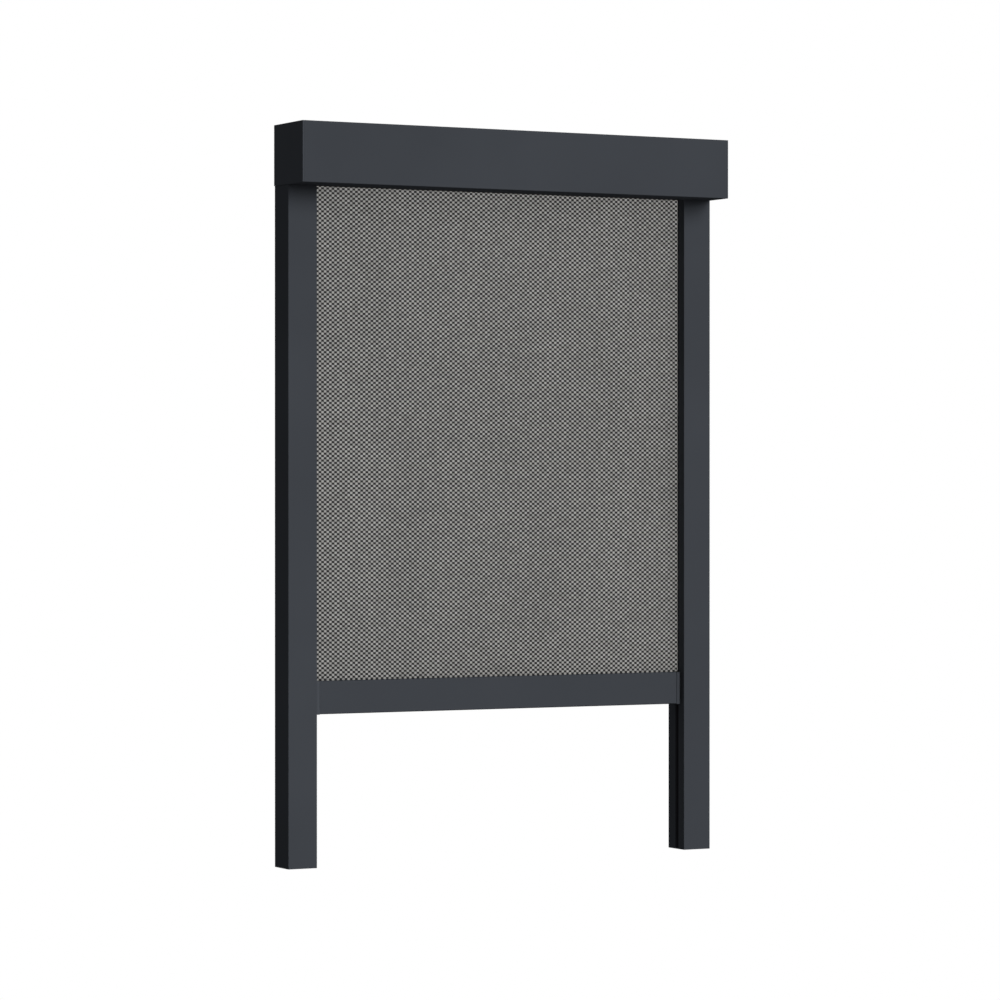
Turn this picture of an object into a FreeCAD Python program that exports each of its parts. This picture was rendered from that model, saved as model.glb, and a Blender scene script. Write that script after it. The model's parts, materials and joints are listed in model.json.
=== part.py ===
import FreeCAD, Part
import math
import os

# An exterior roller blind whose screen runs in two side guides, fixed flat to a wall.
# X runs along the blind, Y goes into the wall and Z is up, in millimetres. The origin is
# the centre of the headbox's back face, which lies on the wall at Y = 0.

os.makedirs("parts", exist_ok=True)
V = FreeCAD.Vector

# Overall sizes
clear_width = 700.0          # between the inner faces of the guides
guide_length = 1120.0        # below the headbox
bar_drop = 869.0             # from the headbox's underside to the bar's underside, as shown

# Headbox
box_height = 100.0
box_depth = 110.0
box_wall = 1.8
box_corner = 1.0             # outer corner radius of the front cover
box_end_plate = 2.5          # end cap plate
cap_edge = 0.4               # bevel round the end caps of the headbox and guides
cover_return = 11.0          # how far the front cover turns back over the top
hook_length = 7.0            # tongue of the rear profile under that return
ledge_length = 5.0           # ledge of the cover that catches the tongue from below
hook_gap = 0.25
exit_front = 46.5            # front edge of the fabric exit, from the wall
exit_rear = 10.5             # rear edge of the fabric exit, from the wall
exit_lip = 8.0               # upstand along both edges of the exit
seam = 0.2                   # between neighbouring outer skins
cover_screw_front = 14.0     # from the box's front to the cover's first screw
cover_screw_rear = 12.0      # from the exit's front edge to its second screw
cover_screw_end = 6.0        # from both to the end cap's plate
cap_rib = 2.0                # ribs moulded inside the end cap
cap_rib_length = 8.0
cap_rib_drop = 14.0          # the front rib stops this far below the top
floor_rib_length = 12.0
floor_rib_height = 6.0
peg_gap = 2.0                # between the guide's chamber and the end cap's peg
peg_length = 40.0            # of the peg that goes down the guide
peg_wall = 3.0
peg_rear = 7.0               # room between the peg and the guide's back wall
peg_bevel = 2.0

# Guides
guide_width = 52.0
guide_depth = 52.0
guide_wall = 1.8
guide_corner = 0.8
guide_inset = 1.5            # the guide's outer side lies inside the box's end by this much
slot_width = 11.0            # opening in the guide's inner face
guide_cap_plate = 2.5
chamber_depth = 19.0         # room for the zip insert, behind the inner face
chamber_width = 16.6
clip_gap = 0.2
clip_bead = 0.9              # barbs that hold the guide's cover on its base
side_flange = 16.0           # the base's flange beside the cover's outer side
chamber_mouth = 4.0          # the chamber's front wall stops this far from the inner face
cap_plug_front = 10.0        # from the cover's inside to the end cap's plug
cap_plug_gap = 2.0
cap_plug_wall = 2.0
cap_plug_height = 12.0

# Zip insert
insert_width = 16.0
insert_wall = 2.6
insert_throat = 3.0
throat_depth = 2.6           # behind the neck
throat_flare = 1.2
insert_nose = 10.4
insert_start = 0.5           # nose set back from the guide's inner face
insert_neck = 2.4            # where the nose widens behind the guide's lips
funnel_below = 30.0          # the moulded inlet, below and above the guide's top
funnel_above = 20.0
funnel_brim = 1.5

# Screen
fabric_from_wall = 28.5
fabric_thickness = 0.6
fabric_into_guide = 5.0
zip_band = 4.0
zip_bead_width = 4.2
zip_bead_depth = 3.2
zip_bead_round = 1.0
running_gap = 0.3            # between curved faces that move past each other

# Roller
tube_radius = 31.5
tube_wall = 1.3
tube_end_gap = 20.0          # from each bracket to the tube's end
roller_above_middle = 6.0
rest_layers = 3
keder_radius = 2.2
keder_clearance = 0.3
keder_wall = 1.2
keder_mouth = 2.0
keder_depth = 0.7            # from the tube's surface to the keder's room
bearing_clearance = 0.05
insert_clearance = 0.1       # of plugs in the tube

# Brackets, motor and idler
boss_length = 8.0
boss_radius = 5.5
boss_offset = 25.0
bracket_plate = 3.0
bracket_half = 32.0
window_orbit = 18.0          # slots round the motor's stud
window_radius = 5.0
motor_radius = 22.5
motor_length = 400.0
motor_head_radius = 27.0
motor_head_length = 16.0
motor_stud = 10.0
stud_clearance = 0.2
stud_beyond = 5.0            # the stud stands out behind the bracket
slit_offset = 0.8            # from the bracket to the stud's slits
slit_width = 1.4
slit_depth = 1.2
fork_thickness = 1.0
fork_half = 11.0
fork_head = 6.0
motor_round = 1.5
head_round = 1.2
head_floor = 5.0
cable_recess_half = 4.5
cable_recess_depth = 8.0
crown_length = 22.0
drive_wheel_length = 14.0
shaft_radius = 5.0
shaft_seat = 9.0             # of the output shaft in the motor
shaft_flat = 0.5
shaft_beyond = 2.0           # past the drive wheel
wheel_gap = 2.0              # from the motor to the drive wheel
wheel_pockets = 4
wheel_pocket_orbit = 17.0
wheel_pocket_radius = 6.0
plug_length = 40.0
plug_flange = 3.0
plug_pockets = 6
plug_pocket_orbit = 18.5
plug_pocket_radius = 5.5
idler_pin_radius = 6.0
pin_seat = 25.0              # of the pin in the plug
pin_beyond = 4.0             # behind the bracket
collar_width = 2.0
collar_stand = 2.5
clip_offset = 0.6            # from the bracket to the clip's groove
clip_groove_width = 1.2
clip_groove_depth = 1.0
clip_thickness = 1.0
clip_stand = 2.0
clip_opening = 6.0
bush_wall = 2.5
bush_flange = 1.5
hub_length = 10.0
hub_wall = 3.0

# Bottom bar
bar_height = 55.0
bar_depth = 28.0
bar_wall = 1.6
bar_corner = 1.2
bar_gap = 1.5                # between the bar's end cap and the guide
bar_cap_width = 8.0
bar_cap_bevel = 0.5
bar_seam_bevel = 0.25        # shadow line between the bar and its end cap
tongue_thickness = 2.2
tongue_round = 0.9
tongue_reach = 14.0          # into the guide
tongue_margin = 7.0          # above and below the tongue, on the cap
spigot_length = 5.0          # of the cap's block inside the bar
spigot_side = 4.0            # how much wider than the weight that block is, each side
seal_stand = 1.0             # the bottom seal stands below the bar
seal_mouth = 5.0
seal_groove_width = 11.0
seal_groove_height = 3.2
seal_root_gap = 0.4
seal_neck_gap = 0.2
seal_root_height = 2.4
seal_root_bevel = 1.0
seal_foot_lip = 2.5
weight_thickness = 6.0
weight_height = 26.0
rib_margin = 5.0             # from the weight's edges to the ribs that hold it upright
fit_gap = 0.3
bar_keder_radius = 2.6
bar_mouth = 1.8
stop_height = 10.0           # rubber stop in the foot of each guide

# Fasteners
port_bore = 1.9              # screw ports in the extrusions
port_wall = 1.7
port_bite = 0.7              # a port is sunk this far into its wall
port_opening = 70.0          # degrees of a port that stay open
low_port = 16.0              # rear profile's lower port, above the underside
front_port = 12.0            # its front port, behind the cover's return
screw_radius = 1.85
screw_head_radius = 3.6
screw_head_height = 2.2
sunk_height = 1.6            # of a countersunk head
socket_depth = 1.2
screw_length = 16.0
cover_screw_length = 6.5
bar_screw_sink = 1.0         # the bar's screw heads lie this far inside its end caps
drive_radius = 1.2
bolt_radius = 2.45
bolt_bore = 2.5
bolt_head_radius = 4.2
bolt_head_height = 3.0
bolt_head_round = 0.8
bolt_socket_radius = 2.0
bolt_socket_depth = 1.8
bolt_end_gap = 1.0
wall_hole_radius = 3.25
wall_hole_end = 60.0         # first wall hole from each end of a guide
wall_hole_out = 36.0         # wall hole from the guide's inner face
box_hole_spacing = 600.0
box_hole_height = 25.0

# Cable inlet
grommet_x = -330.0
grommet_z = -18.0
grommet_radius = 7.0
grommet_bore = 3.5
grommet_flange = 2.5
grommet_inside = 3.0
grommet_round = 1.0
tolerance = 0.01             # for finding edges that lie on a face

# Places that follow from those sizes
top = box_height / 2
bottom = -box_height / 2
half_clear = clear_width / 2
half_box = half_clear + guide_width + guide_inset
cap_inner = half_box - box_end_plate
fabric_y = -fabric_from_wall
slot_front = fabric_y - slot_width / 2
slot_rear = fabric_y + slot_width / 2
wound_radius = tube_radius + rest_layers * fabric_thickness
roller_y = fabric_y - fabric_thickness / 2 - running_gap - wound_radius
roller_z = roller_above_middle
bracket_outer = cap_inner - boss_length
bracket_inner = bracket_outer - bracket_plate
tube_half = bracket_inner - tube_end_gap
keder_orbit = tube_radius - keder_radius - keder_clearance - keder_depth
guide_top = bottom
guide_foot = bottom - guide_length
rail_foot = guide_foot + guide_cap_plate
bar_bottom = bottom - bar_drop
bar_top = bar_bottom + bar_height
bar_front = fabric_y - bar_depth / 2
bar_rear = fabric_y + bar_depth / 2
bar_cap_end = half_clear - bar_gap
bar_half = bar_cap_end - bar_cap_width
motor_end = -bracket_inner + motor_head_length + motor_length
chamber_end = half_clear + chamber_depth + guide_wall
insert_back = chamber_end - fit_gap
insert_end = insert_back - insert_wall


def block(x0, x1, y0, y1, z0, z1):
    """A box between two opposite corners."""
    return Part.makeBox(x1 - x0, y1 - y0, z1 - z0, V(x0, y0, z0))


def rod_x(radius, y, z, x0, x1):
    return Part.makeCylinder(radius, x1 - x0, V(x0, y, z), V(1, 0, 0))


def rod_y(radius, x, z, y0, y1):
    return Part.makeCylinder(radius, y1 - y0, V(x, y0, z), V(0, 1, 0))


def rod_z(radius, x, y, z0, z1):
    return Part.makeCylinder(radius, z1 - z0, V(x, y, z0), V(0, 0, 1))


def joined(pieces):
    return pieces[0].fuse(pieces[1:]).removeSplitter()


def ring_x(outer, inner, y, z, x0, x1):
    return rod_x(outer, y, z, x0, x1).cut(rod_x(inner, y, z, x0, x1))


def prism_x(points, x0, x1):
    """A closed outline of (y, z) points carried along X."""
    wire = Part.makePolygon([V(x0, y, z) for y, z in points + points[:1]])
    return Part.Face(wire).extrude(V(x1 - x0, 0, 0))


def prism_z(points, z0, z1):
    """A closed outline of (x, y) points carried up Z."""
    wire = Part.makePolygon([V(x, y, z0) for x, y in points + points[:1]])
    return Part.Face(wire).extrude(V(0, 0, z1 - z0))


def prism_y(points, y0, y1):
    """A closed outline of (x, z) points carried along Y."""
    wire = Part.makePolygon([V(x, y0, z) for x, z in points + points[:1]])
    return Part.Face(wire).extrude(V(0, y1 - y0, 0))


def rounded(shape, radius, direction, corners):
    """Rounds the edges that run along a direction through the given corners of a section."""
    edges = []
    for edge in shape.Edges:
        if len(edge.Vertexes) != 2:
            continue
        a, b = edge.Vertexes[0].Point, edge.Vertexes[1].Point
        run = b - a
        if run.Length < tolerance or abs(run.dot(direction)) < run.Length - tolerance:
            continue
        for corner in corners:
            away = a - corner
            away = away - direction * away.dot(direction)
            if away.Length < tolerance:
                edges.append(edge)
    return shape.makeFillet(radius, edges) if edges else shape


def port_x(y, z, x0, x1, opening):
    """A C-shaped screw port along X, open towards an angle in the YZ plane."""
    outer = port_bore + port_wall
    ring = rod_x(outer, y, z, x0, x1)
    half = math.radians(port_opening / 2)
    mouth = [(y, z)]
    for turn in (-half, half):
        angle = math.radians(opening) + turn
        mouth.append((y + 2 * outer * math.cos(angle), z + 2 * outer * math.sin(angle)))
    return ring.cut(prism_x(mouth, x0, x1))


def port_z(x, y, z0, z1, opening):
    """A C-shaped screw port up Z, open towards an angle in the XY plane."""
    outer = port_bore + port_wall
    ring = rod_z(outer, x, y, z0, z1)
    half = math.radians(port_opening / 2)
    mouth = [(x, y)]
    for turn in (-half, half):
        angle = math.radians(opening) + turn
        mouth.append((x + 2 * outer * math.cos(angle), y + 2 * outer * math.sin(angle)))
    return ring.cut(prism_z(mouth, z0, z1))


def mirrored(shape):
    """The same piece for the left end."""
    return shape.mirror(V(0, 0, 0), V(1, 0, 0))


def save(name, shape):
    solids = shape.Solids
    shape = solids[0] if len(solids) == 1 else Part.makeCompound(solids)
    shape.exportStep("parts/" + name + ".step")
    print(name, len(solids), "solid(s)", round(shape.Volume), "mm3", shape.isValid())


def save_pair(name, shape):
    save(name + "_right", shape)
    save(name + "_left", mirrored(shape))


# The ports sit in the rear profile's corners, where the end caps are screwed on. Each is
# open towards an angle in degrees: down and forwards, forwards, or down.
down_forwards, forwards, down = 225, 180, 270
port_sink = port_bore + port_wall - port_bite
port_places = [
    (-box_wall - port_sink, top - box_wall - port_sink, down_forwards),
    (-box_wall - port_sink, bottom + low_port, forwards),
    (-box_depth + cover_return + front_port, top - box_wall - port_sink, down),
]
cover_screw_y = [-box_depth + cover_screw_front, -exit_front - cover_screw_rear]
cover_screw_x = cap_inner - cover_screw_end
boss_places = [
    (roller_y + sy * boss_offset, roller_z + sz * boss_offset)
    for sy in (-1, 1)
    for sz in (-1, 1)
]


def box_rear_profile():
    """Back and top walls in one extrusion, with a tongue for the cover and a rear exit lip."""
    end = -box_depth + cover_return + seam
    tongue_top = top - box_wall - hook_gap
    outline = [
        (0, bottom),
        (0, top),
        (end, top),
        (end, tongue_top),
        (end - hook_length, tongue_top),
        (end - hook_length, tongue_top - box_wall),
        (end + 2 * box_wall, tongue_top - box_wall),
        (end + 3 * box_wall, top - box_wall),
        (-box_wall, top - box_wall),
        (-box_wall, bottom + box_wall),
        (-exit_rear + box_wall, bottom + box_wall),
        (-exit_rear + box_wall, bottom + exit_lip),
        (-exit_rear, bottom + exit_lip),
        (-exit_rear, bottom),
    ]
    shape = prism_x(outline, -cap_inner, cap_inner)
    ports = [port_x(y, z, -cap_inner, cap_inner, opening) for y, z, opening in port_places]
    y, z, opening = port_places[0]
    gusset = block(-cap_inner, cap_inner, y, -box_wall, z, top - box_wall)
    shape = joined([shape, gusset] + ports)
    drills = [rod_x(port_bore, y, z, -cap_inner, cap_inner) for y, z, opening in port_places]
    for x in (-box_hole_spacing / 2, box_hole_spacing / 2):
        drills.append(rod_y(wall_hole_radius, x, box_hole_height, -box_wall, 0))
    drills.append(rod_y(grommet_radius, grommet_x, grommet_z, -box_wall, 0))
    return shape.cut(drills)


def box_front_cover():
    """Front and underside in one extrusion, which hooks on at the top and is screwed below."""
    end = -box_depth + cover_return
    ledge_top = top - 2 * box_wall - 2 * hook_gap
    inner = -box_depth + box_wall
    outline = [
        (-box_depth, bottom),
        (-box_depth, top),
        (end, top),
        (end, top - box_wall),
        (inner, top - box_wall),
        (inner, ledge_top),
        (inner + ledge_length, ledge_top),
        (inner + ledge_length, ledge_top - box_wall),
        (inner, ledge_top - box_wall),
        (inner, bottom + box_wall),
        (-exit_front - box_wall, bottom + box_wall),
        (-exit_front - box_wall, bottom + exit_lip),
        (-exit_front, bottom + exit_lip),
        (-exit_front, bottom),
    ]
    shape = prism_x(outline, -cap_inner + seam, cap_inner - seam)
    corners = [V(0, -box_depth, bottom), V(0, -box_depth, top)]
    shape = rounded(shape, box_corner, V(1, 0, 0), corners)
    holes = []
    for x in (-cover_screw_x, cover_screw_x):
        for y in cover_screw_y:
            holes.append(rod_z(screw_radius + fit_gap, x, y, bottom, bottom + box_wall))
            holes.append(countersink(V(x, y, bottom), V(0, 0, 1)))
    return shape.cut(holes)


def box_end_cap():
    """Right end cap: the outer plate, ribs inside the skins, bracket bosses and the guide peg."""
    outline = [(-box_depth, bottom), (-box_depth, top), (0, top), (0, bottom)]
    plate = prism_x(outline, cap_inner, half_box)
    corners = [V(0, y, z) for y, z in outline[:2]]
    plate = rounded(plate, box_corner, V(1, 0, 0), corners)
    rim = [e for e in plate.Edges if abs(e.BoundBox.XMin - half_box) < tolerance]
    plate = plate.makeChamfer(cap_edge, rim)
    inner = -box_depth + box_wall + fit_gap
    floor = bottom + box_wall + fit_gap
    front_rib = block(cap_inner - cap_rib_length, cap_inner, inner, inner + cap_rib,
                      floor, top - cap_rib_drop)
    floor_rib = block(cap_inner - floor_rib_length, cap_inner, inner,
                      -exit_front - box_wall - fit_gap, floor, floor + floor_rib_height)
    bosses = [rod_x(boss_radius, y, z, bracket_outer, cap_inner) for y, z in boss_places]
    # The foot fills the exit beside the guide's chamber, and the peg goes down the guide.
    peg_x0 = chamber_end + guide_wall + peg_gap
    peg_x1 = half_clear + guide_width - 2 * guide_wall - clip_gap - fit_gap
    peg_y0, peg_y1 = slot_front, -guide_wall - peg_rear
    peg_tip = bottom - peg_length
    foot = block(peg_x0, cap_inner, -exit_front + fit_gap, -exit_rear - fit_gap,
                 bottom, bottom + exit_lip)
    peg = block(peg_x0, peg_x1, peg_y0, peg_y1, peg_tip, bottom)
    core = block(peg_x0 + peg_wall, peg_x1 - peg_wall, peg_y0 + peg_wall, peg_y1 - peg_wall,
                 peg_tip, bottom)
    lead = [(peg_x0, peg_tip), (peg_x0 + peg_bevel, peg_tip), (peg_x0, peg_tip + 2 * peg_bevel)]
    peg = peg.cut([core, prism_y(lead, peg_y0, peg_y1)])
    shape = joined([plate, front_rib, floor_rib, foot, peg] + bosses)
    holes = []
    for y, z, opening in port_places:
        holes.append(rod_x(screw_radius + fit_gap, y, z, cap_inner, half_box))
        holes.append(countersink(V(half_box, y, z), V(-1, 0, 0)))
    holes += [rod_x(bolt_bore, y, z, bracket_outer, cap_inner) for y, z in boss_places]
    holes += [rod_z(screw_radius + bearing_clearance, cover_screw_x, y,
                    floor, bottom + cover_screw_length + fit_gap)
              for y in cover_screw_y]
    return shape.cut(holes)


def countersink(base, direction):
    """Room for a countersunk head, from the surface at base inwards."""
    return Part.makeCone(screw_head_radius, screw_radius + fit_gap, sunk_height, base, direction)


def countersunk_screw(base, direction, length):
    """A countersunk screw whose flat head lies at base; direction points along the shank."""
    head = Part.makeCone(screw_head_radius - bearing_clearance, screw_radius, sunk_height,
                         base, direction)
    shank = Part.makeCylinder(screw_radius, length, base, direction)
    socket = Part.makeCylinder(drive_radius, socket_depth, base, direction)
    return joined([head, shank]).cut(socket)


def cap_screws():
    """Three countersunk screws at each end of the headbox, into the rear profile's ports."""
    screws = []
    for y, z, opening in port_places:
        screws.append(countersunk_screw(V(half_box, y, z), V(-1, 0, 0), screw_length))
    return Part.makeCompound(screws + [mirrored(s) for s in screws])


def cover_screws():
    screws = [countersunk_screw(V(x, y, bottom), V(0, 0, 1), cover_screw_length)
              for x in (-cover_screw_x, cover_screw_x) for y in cover_screw_y]
    return Part.makeCompound(screws)


def rims_at_x(shape, x):
    """The round edges that lie in the plane at x."""
    return [e for e in shape.Edges if len(e.Vertexes) == 1
            and abs(e.BoundBox.XMin - x) < tolerance and abs(e.BoundBox.XMax - x) < tolerance]


def bracket_bolts():
    """Four pan-head bolts hold each bracket on the bosses of its end cap."""
    bolts = []
    for y, z in boss_places:
        top_face = bracket_inner - bolt_head_height
        shank = rod_x(bolt_radius, y, z, bracket_inner, cap_inner - bolt_end_gap)
        head = rod_x(bolt_head_radius, y, z, top_face, bracket_inner)
        head = head.makeFillet(bolt_head_round, rims_at_x(head, top_face))
        socket = rod_x(bolt_socket_radius, y, z, top_face, top_face + bolt_socket_depth)
        bolts.append(joined([shank, head]).cut(socket))
    return Part.makeCompound(bolts + [mirrored(b) for b in bolts])


def bracket_blank():
    """The pressed plate that both brackets start from, with rounded corners and bolt holes."""
    outline = [
        (roller_y - bracket_half, roller_z - bracket_half),
        (roller_y - bracket_half, roller_z + bracket_half),
        (roller_y + bracket_half, roller_z + bracket_half),
        (roller_y + bracket_half, roller_z - bracket_half),
    ]
    plate = prism_x(outline, bracket_inner, bracket_outer)
    plate = rounded(plate, bracket_half - boss_offset, V(1, 0, 0), [V(0, y, z) for y, z in outline])
    return plate.cut([rod_x(bolt_bore, y, z, bracket_inner, bracket_outer)
                      for y, z in boss_places])


def motor_bracket():
    """Left bracket: a square hole takes the motor's stud, between four weight-saving slots."""
    half = motor_stud / 2 + stud_clearance
    hole = block(bracket_inner, bracket_outer, roller_y - half, roller_y + half,
                 roller_z - half, roller_z + half)
    windows = []
    for turn in range(4):
        angle = math.radians(90 * turn)
        y = roller_y + window_orbit * math.cos(angle)
        z = roller_z + window_orbit * math.sin(angle)
        windows.append(rod_x(window_radius, y, z, bracket_inner, bracket_outer))
    return mirrored(bracket_blank().cut([hole] + windows))


def idler_bracket():
    """Right bracket with a pressed hub for the bearing bush."""
    hub_radius = idler_pin_radius + bush_wall + hub_wall
    hub = rod_x(hub_radius, roller_y, roller_z, bracket_outer - hub_length, bracket_outer)
    bore = rod_x(idler_pin_radius + bearing_clearance + bush_wall, roller_y, roller_z,
                 bracket_outer - hub_length, bracket_outer)
    return joined([bracket_blank(), hub]).cut(bore)


def idler_bush():
    inner = idler_pin_radius + bearing_clearance
    outer = inner + bush_wall
    start = bracket_outer - hub_length
    sleeve = rod_x(outer, roller_y, roller_z, start, bracket_outer)
    flange = rod_x(outer + hub_wall, roller_y, roller_z, start - bush_flange, start)
    bore = rod_x(inner, roller_y, roller_z, start - bush_flange, bracket_outer)
    return joined([sleeve, flange]).cut(bore)


def idler_pin():
    """Steel pin pressed into the idler plug, with a collar and a groove for its clip."""
    collar_end = bracket_outer - hub_length - bush_flange - fit_gap
    pin = rod_x(idler_pin_radius, roller_y, roller_z, tube_half - pin_seat,
                bracket_outer + pin_beyond)
    collar = rod_x(idler_pin_radius + collar_stand, roller_y, roller_z,
                   collar_end - collar_width, collar_end)
    groove_x = bracket_outer + clip_offset
    groove = ring_x(idler_pin_radius + clip_stand, idler_pin_radius - clip_groove_depth,
                    roller_y, roller_z, groove_x, groove_x + clip_groove_width)
    return joined([pin, collar]).cut(groove)


def idler_clip():
    """An open retaining ring in the pin's groove."""
    x0 = bracket_outer + clip_offset + (clip_groove_width - clip_thickness) / 2
    x1 = x0 + clip_thickness
    outer = idler_pin_radius + clip_stand
    inner = idler_pin_radius - clip_groove_depth + bearing_clearance
    gap = block(x0, x1, roller_y - clip_opening / 2, roller_y + clip_opening / 2,
                roller_z - outer, roller_z)
    return ring_x(outer, inner, roller_y, roller_z, x0, x1).cut(gap)


def keder_notch(x0, x1, radius):
    """Room for the tube's inward groove, seen from the end of the roller."""
    return rod_x(radius, roller_y, roller_z + keder_orbit, x0, x1)


def roller_tube():
    """Rolled tube with one inward C-shaped groove that holds the fabric's keder."""
    cavity = keder_radius + keder_clearance
    tube = ring_x(tube_radius, tube_radius - tube_wall, roller_y, roller_z, -tube_half, tube_half)
    groove = keder_notch(-tube_half, tube_half, cavity + keder_wall)
    outside = ring_x(2 * tube_radius, tube_radius, roller_y, roller_z, -tube_half, tube_half)
    groove = groove.cut(outside)
    mouth = block(-tube_half, tube_half, roller_y - keder_mouth / 2, roller_y + keder_mouth / 2,
                  roller_z + keder_orbit, roller_z + tube_radius)
    return joined([tube, groove]).cut([keder_notch(-tube_half, tube_half, cavity), mouth])


def tube_insert(x0, x1):
    """A round plug that fits the tube and is keyed by its groove."""
    outer = tube_radius - tube_wall - insert_clearance
    plug = rod_x(outer, roller_y, roller_z, x0, x1)
    notch = keder_radius + keder_clearance + keder_wall + insert_clearance
    key = block(x0, x1, roller_y - notch, roller_y + notch,
                roller_z + keder_orbit, roller_z + tube_radius)
    return plug.cut([keder_notch(x0, x1, notch), key])


def motor_crown():
    """Ring that turns on the motor's neck and carries the tube's end."""
    start = -tube_half
    plug = tube_insert(start, start + crown_length)
    flange = rod_x(tube_radius, roller_y, roller_z, start - plug_flange, start)
    bore = rod_x(motor_radius + bearing_clearance, roller_y, roller_z,
                 start - plug_flange, start + crown_length)
    return joined([plug, flange]).cut(bore)


def tubular_motor():
    """Motor body inside the tube, fixed to the head."""
    start = -bracket_inner + motor_head_length
    body = rod_x(motor_radius, roller_y, roller_z, start, motor_end)
    body = body.makeFillet(motor_round, rims_at_x(body, motor_end))
    bore = rod_x(shaft_radius + bearing_clearance, roller_y, roller_z,
                 motor_end - shaft_seat, motor_end)
    return body.cut(bore)


def motor_head():
    """Moulded head with the square stud that the bracket holds and the cable's recess."""
    start = -bracket_inner
    head = rod_x(motor_head_radius, roller_y, roller_z, start, start + motor_head_length)
    rims = rims_at_x(head, start) + rims_at_x(head, start + motor_head_length)
    head = head.makeFillet(head_round, rims)
    half = motor_stud / 2
    stud = block(-bracket_outer - stud_beyond, start + head_round, roller_y - half,
                 roller_y + half, roller_z - half, roller_z + half)
    x1 = -bracket_outer - slit_offset
    x0 = x1 - slit_width
    slits = [block(x0, x1, y, y + slit_depth, roller_z - half, roller_z + half)
             for y in (roller_y - half, roller_y + half - slit_depth)]
    recess = block(start, start + motor_head_length - head_floor, roller_y - cable_recess_half,
                   roller_y + cable_recess_half, roller_z - motor_head_radius,
                   roller_z - motor_head_radius + cable_recess_depth)
    return joined([head, stud]).cut(slits + [recess])


def motor_clip():
    """Flat fork that slides into the stud's two slits behind the bracket."""
    x0 = -bracket_outer - slit_offset - (slit_width + fork_thickness) / 2
    x1 = x0 + fork_thickness
    half = motor_stud / 2
    waist = half - slit_depth + insert_clearance
    plate = block(x0, x1, roller_y - fork_half, roller_y + fork_half,
                  roller_z - half, roller_z + half + fork_head)
    gap = block(x0, x1, roller_y - waist, roller_y + waist,
                roller_z - half, roller_z + half + fit_gap)
    return plate.cut(gap)


def motor_shaft():
    """Output shaft, with two flats where the drive wheel sits."""
    start = motor_end - shaft_seat + fit_gap
    end = motor_end + wheel_gap + drive_wheel_length + shaft_beyond
    shaft = rod_x(shaft_radius, roller_y, roller_z, start, end)
    across = shaft_radius - shaft_flat
    flats = [block(motor_end + wheel_gap / 2, end, roller_y - shaft_radius,
                   roller_y + shaft_radius, z, z + shaft_flat)
             for z in (roller_z - shaft_radius, roller_z + across)]
    return shaft.cut(flats)


def drive_wheel():
    """Wheel with four spokes that carries the motor's turning to the tube."""
    start = motor_end + wheel_gap
    end = start + drive_wheel_length
    wheel = tube_insert(start, end)
    pockets = []
    for turn in range(wheel_pockets):
        angle = 2 * math.pi * (turn + 0.5) / wheel_pockets
        y = roller_y + wheel_pocket_orbit * math.cos(angle)
        z = roller_z + wheel_pocket_orbit * math.sin(angle)
        pockets.append(rod_x(wheel_pocket_radius, y, z, start, end))
    half = shaft_radius - shaft_flat + bearing_clearance
    seat = rod_x(shaft_radius + bearing_clearance, roller_y, roller_z, start, end)
    seat = seat.common(block(start, end, roller_y - 2 * half, roller_y + 2 * half,
                             roller_z - half, roller_z + half))
    return wheel.cut(pockets + [seat])


def idler_plug():
    """Moulded plug in the tube's right end, hollowed between its ribs."""
    start = tube_half - plug_length
    plug = tube_insert(start, tube_half)
    flange = rod_x(tube_radius, roller_y, roller_z, tube_half, tube_half + plug_flange)
    shape = joined([plug, flange])
    pockets = []
    for turn in range(plug_pockets):
        angle = 2 * math.pi * (turn + 0.5) / plug_pockets
        y = roller_y + plug_pocket_orbit * math.cos(angle)
        z = roller_z + plug_pocket_orbit * math.sin(angle)
        pockets.append(rod_x(plug_pocket_radius, y, z, start, tube_half))
    bore = rod_x(idler_pin_radius, roller_y, roller_z, start, tube_half + plug_flange)
    return shape.cut(pockets + [bore])


fabric_half = half_clear + fabric_into_guide
zip_outer = fabric_half + zip_band + zip_bead_depth


def tube_keder():
    """Round welt on the fabric's top edge, in the tube's groove, with its short stem."""
    rod = rod_x(keder_radius, roller_y, roller_z + keder_orbit, -fabric_half, fabric_half)
    stem = block(-fabric_half, fabric_half,
                 roller_y - fabric_thickness / 2, roller_y + fabric_thickness / 2,
                 roller_z + keder_orbit, roller_z + tube_radius)
    return joined([rod, stem])


def wound_fabric():
    """The turns of fabric that stay on the tube, as one sleeve."""
    return ring_x(wound_radius, tube_radius + bearing_clearance, roller_y, roller_z,
                  -fabric_half, fabric_half)


fabric_foot = bar_top + running_gap


def screen_fabric():
    return block(-fabric_half, fabric_half,
                 fabric_y - fabric_thickness / 2, fabric_y + fabric_thickness / 2,
                 fabric_foot, roller_z)


def zip_tape():
    """Welded band along the fabric's edge, with the toothed bead that the insert holds."""
    half = fabric_thickness / 2
    x0 = fabric_half
    x1 = x0 + zip_band
    band = block(x0, x1 + half, fabric_y - half, fabric_y + half, fabric_foot, roller_z)
    bead = block(x1, zip_outer, fabric_y - zip_bead_width / 2, fabric_y + zip_bead_width / 2,
                 fabric_foot, roller_z)
    corners = [V(x, y, 0) for x in (x1, zip_outer)
               for y in (fabric_y - zip_bead_width / 2, fabric_y + zip_bead_width / 2)]
    bead = rounded(bead, zip_bead_round, V(0, 0, 1), corners)
    return joined([bead, band])


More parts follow.
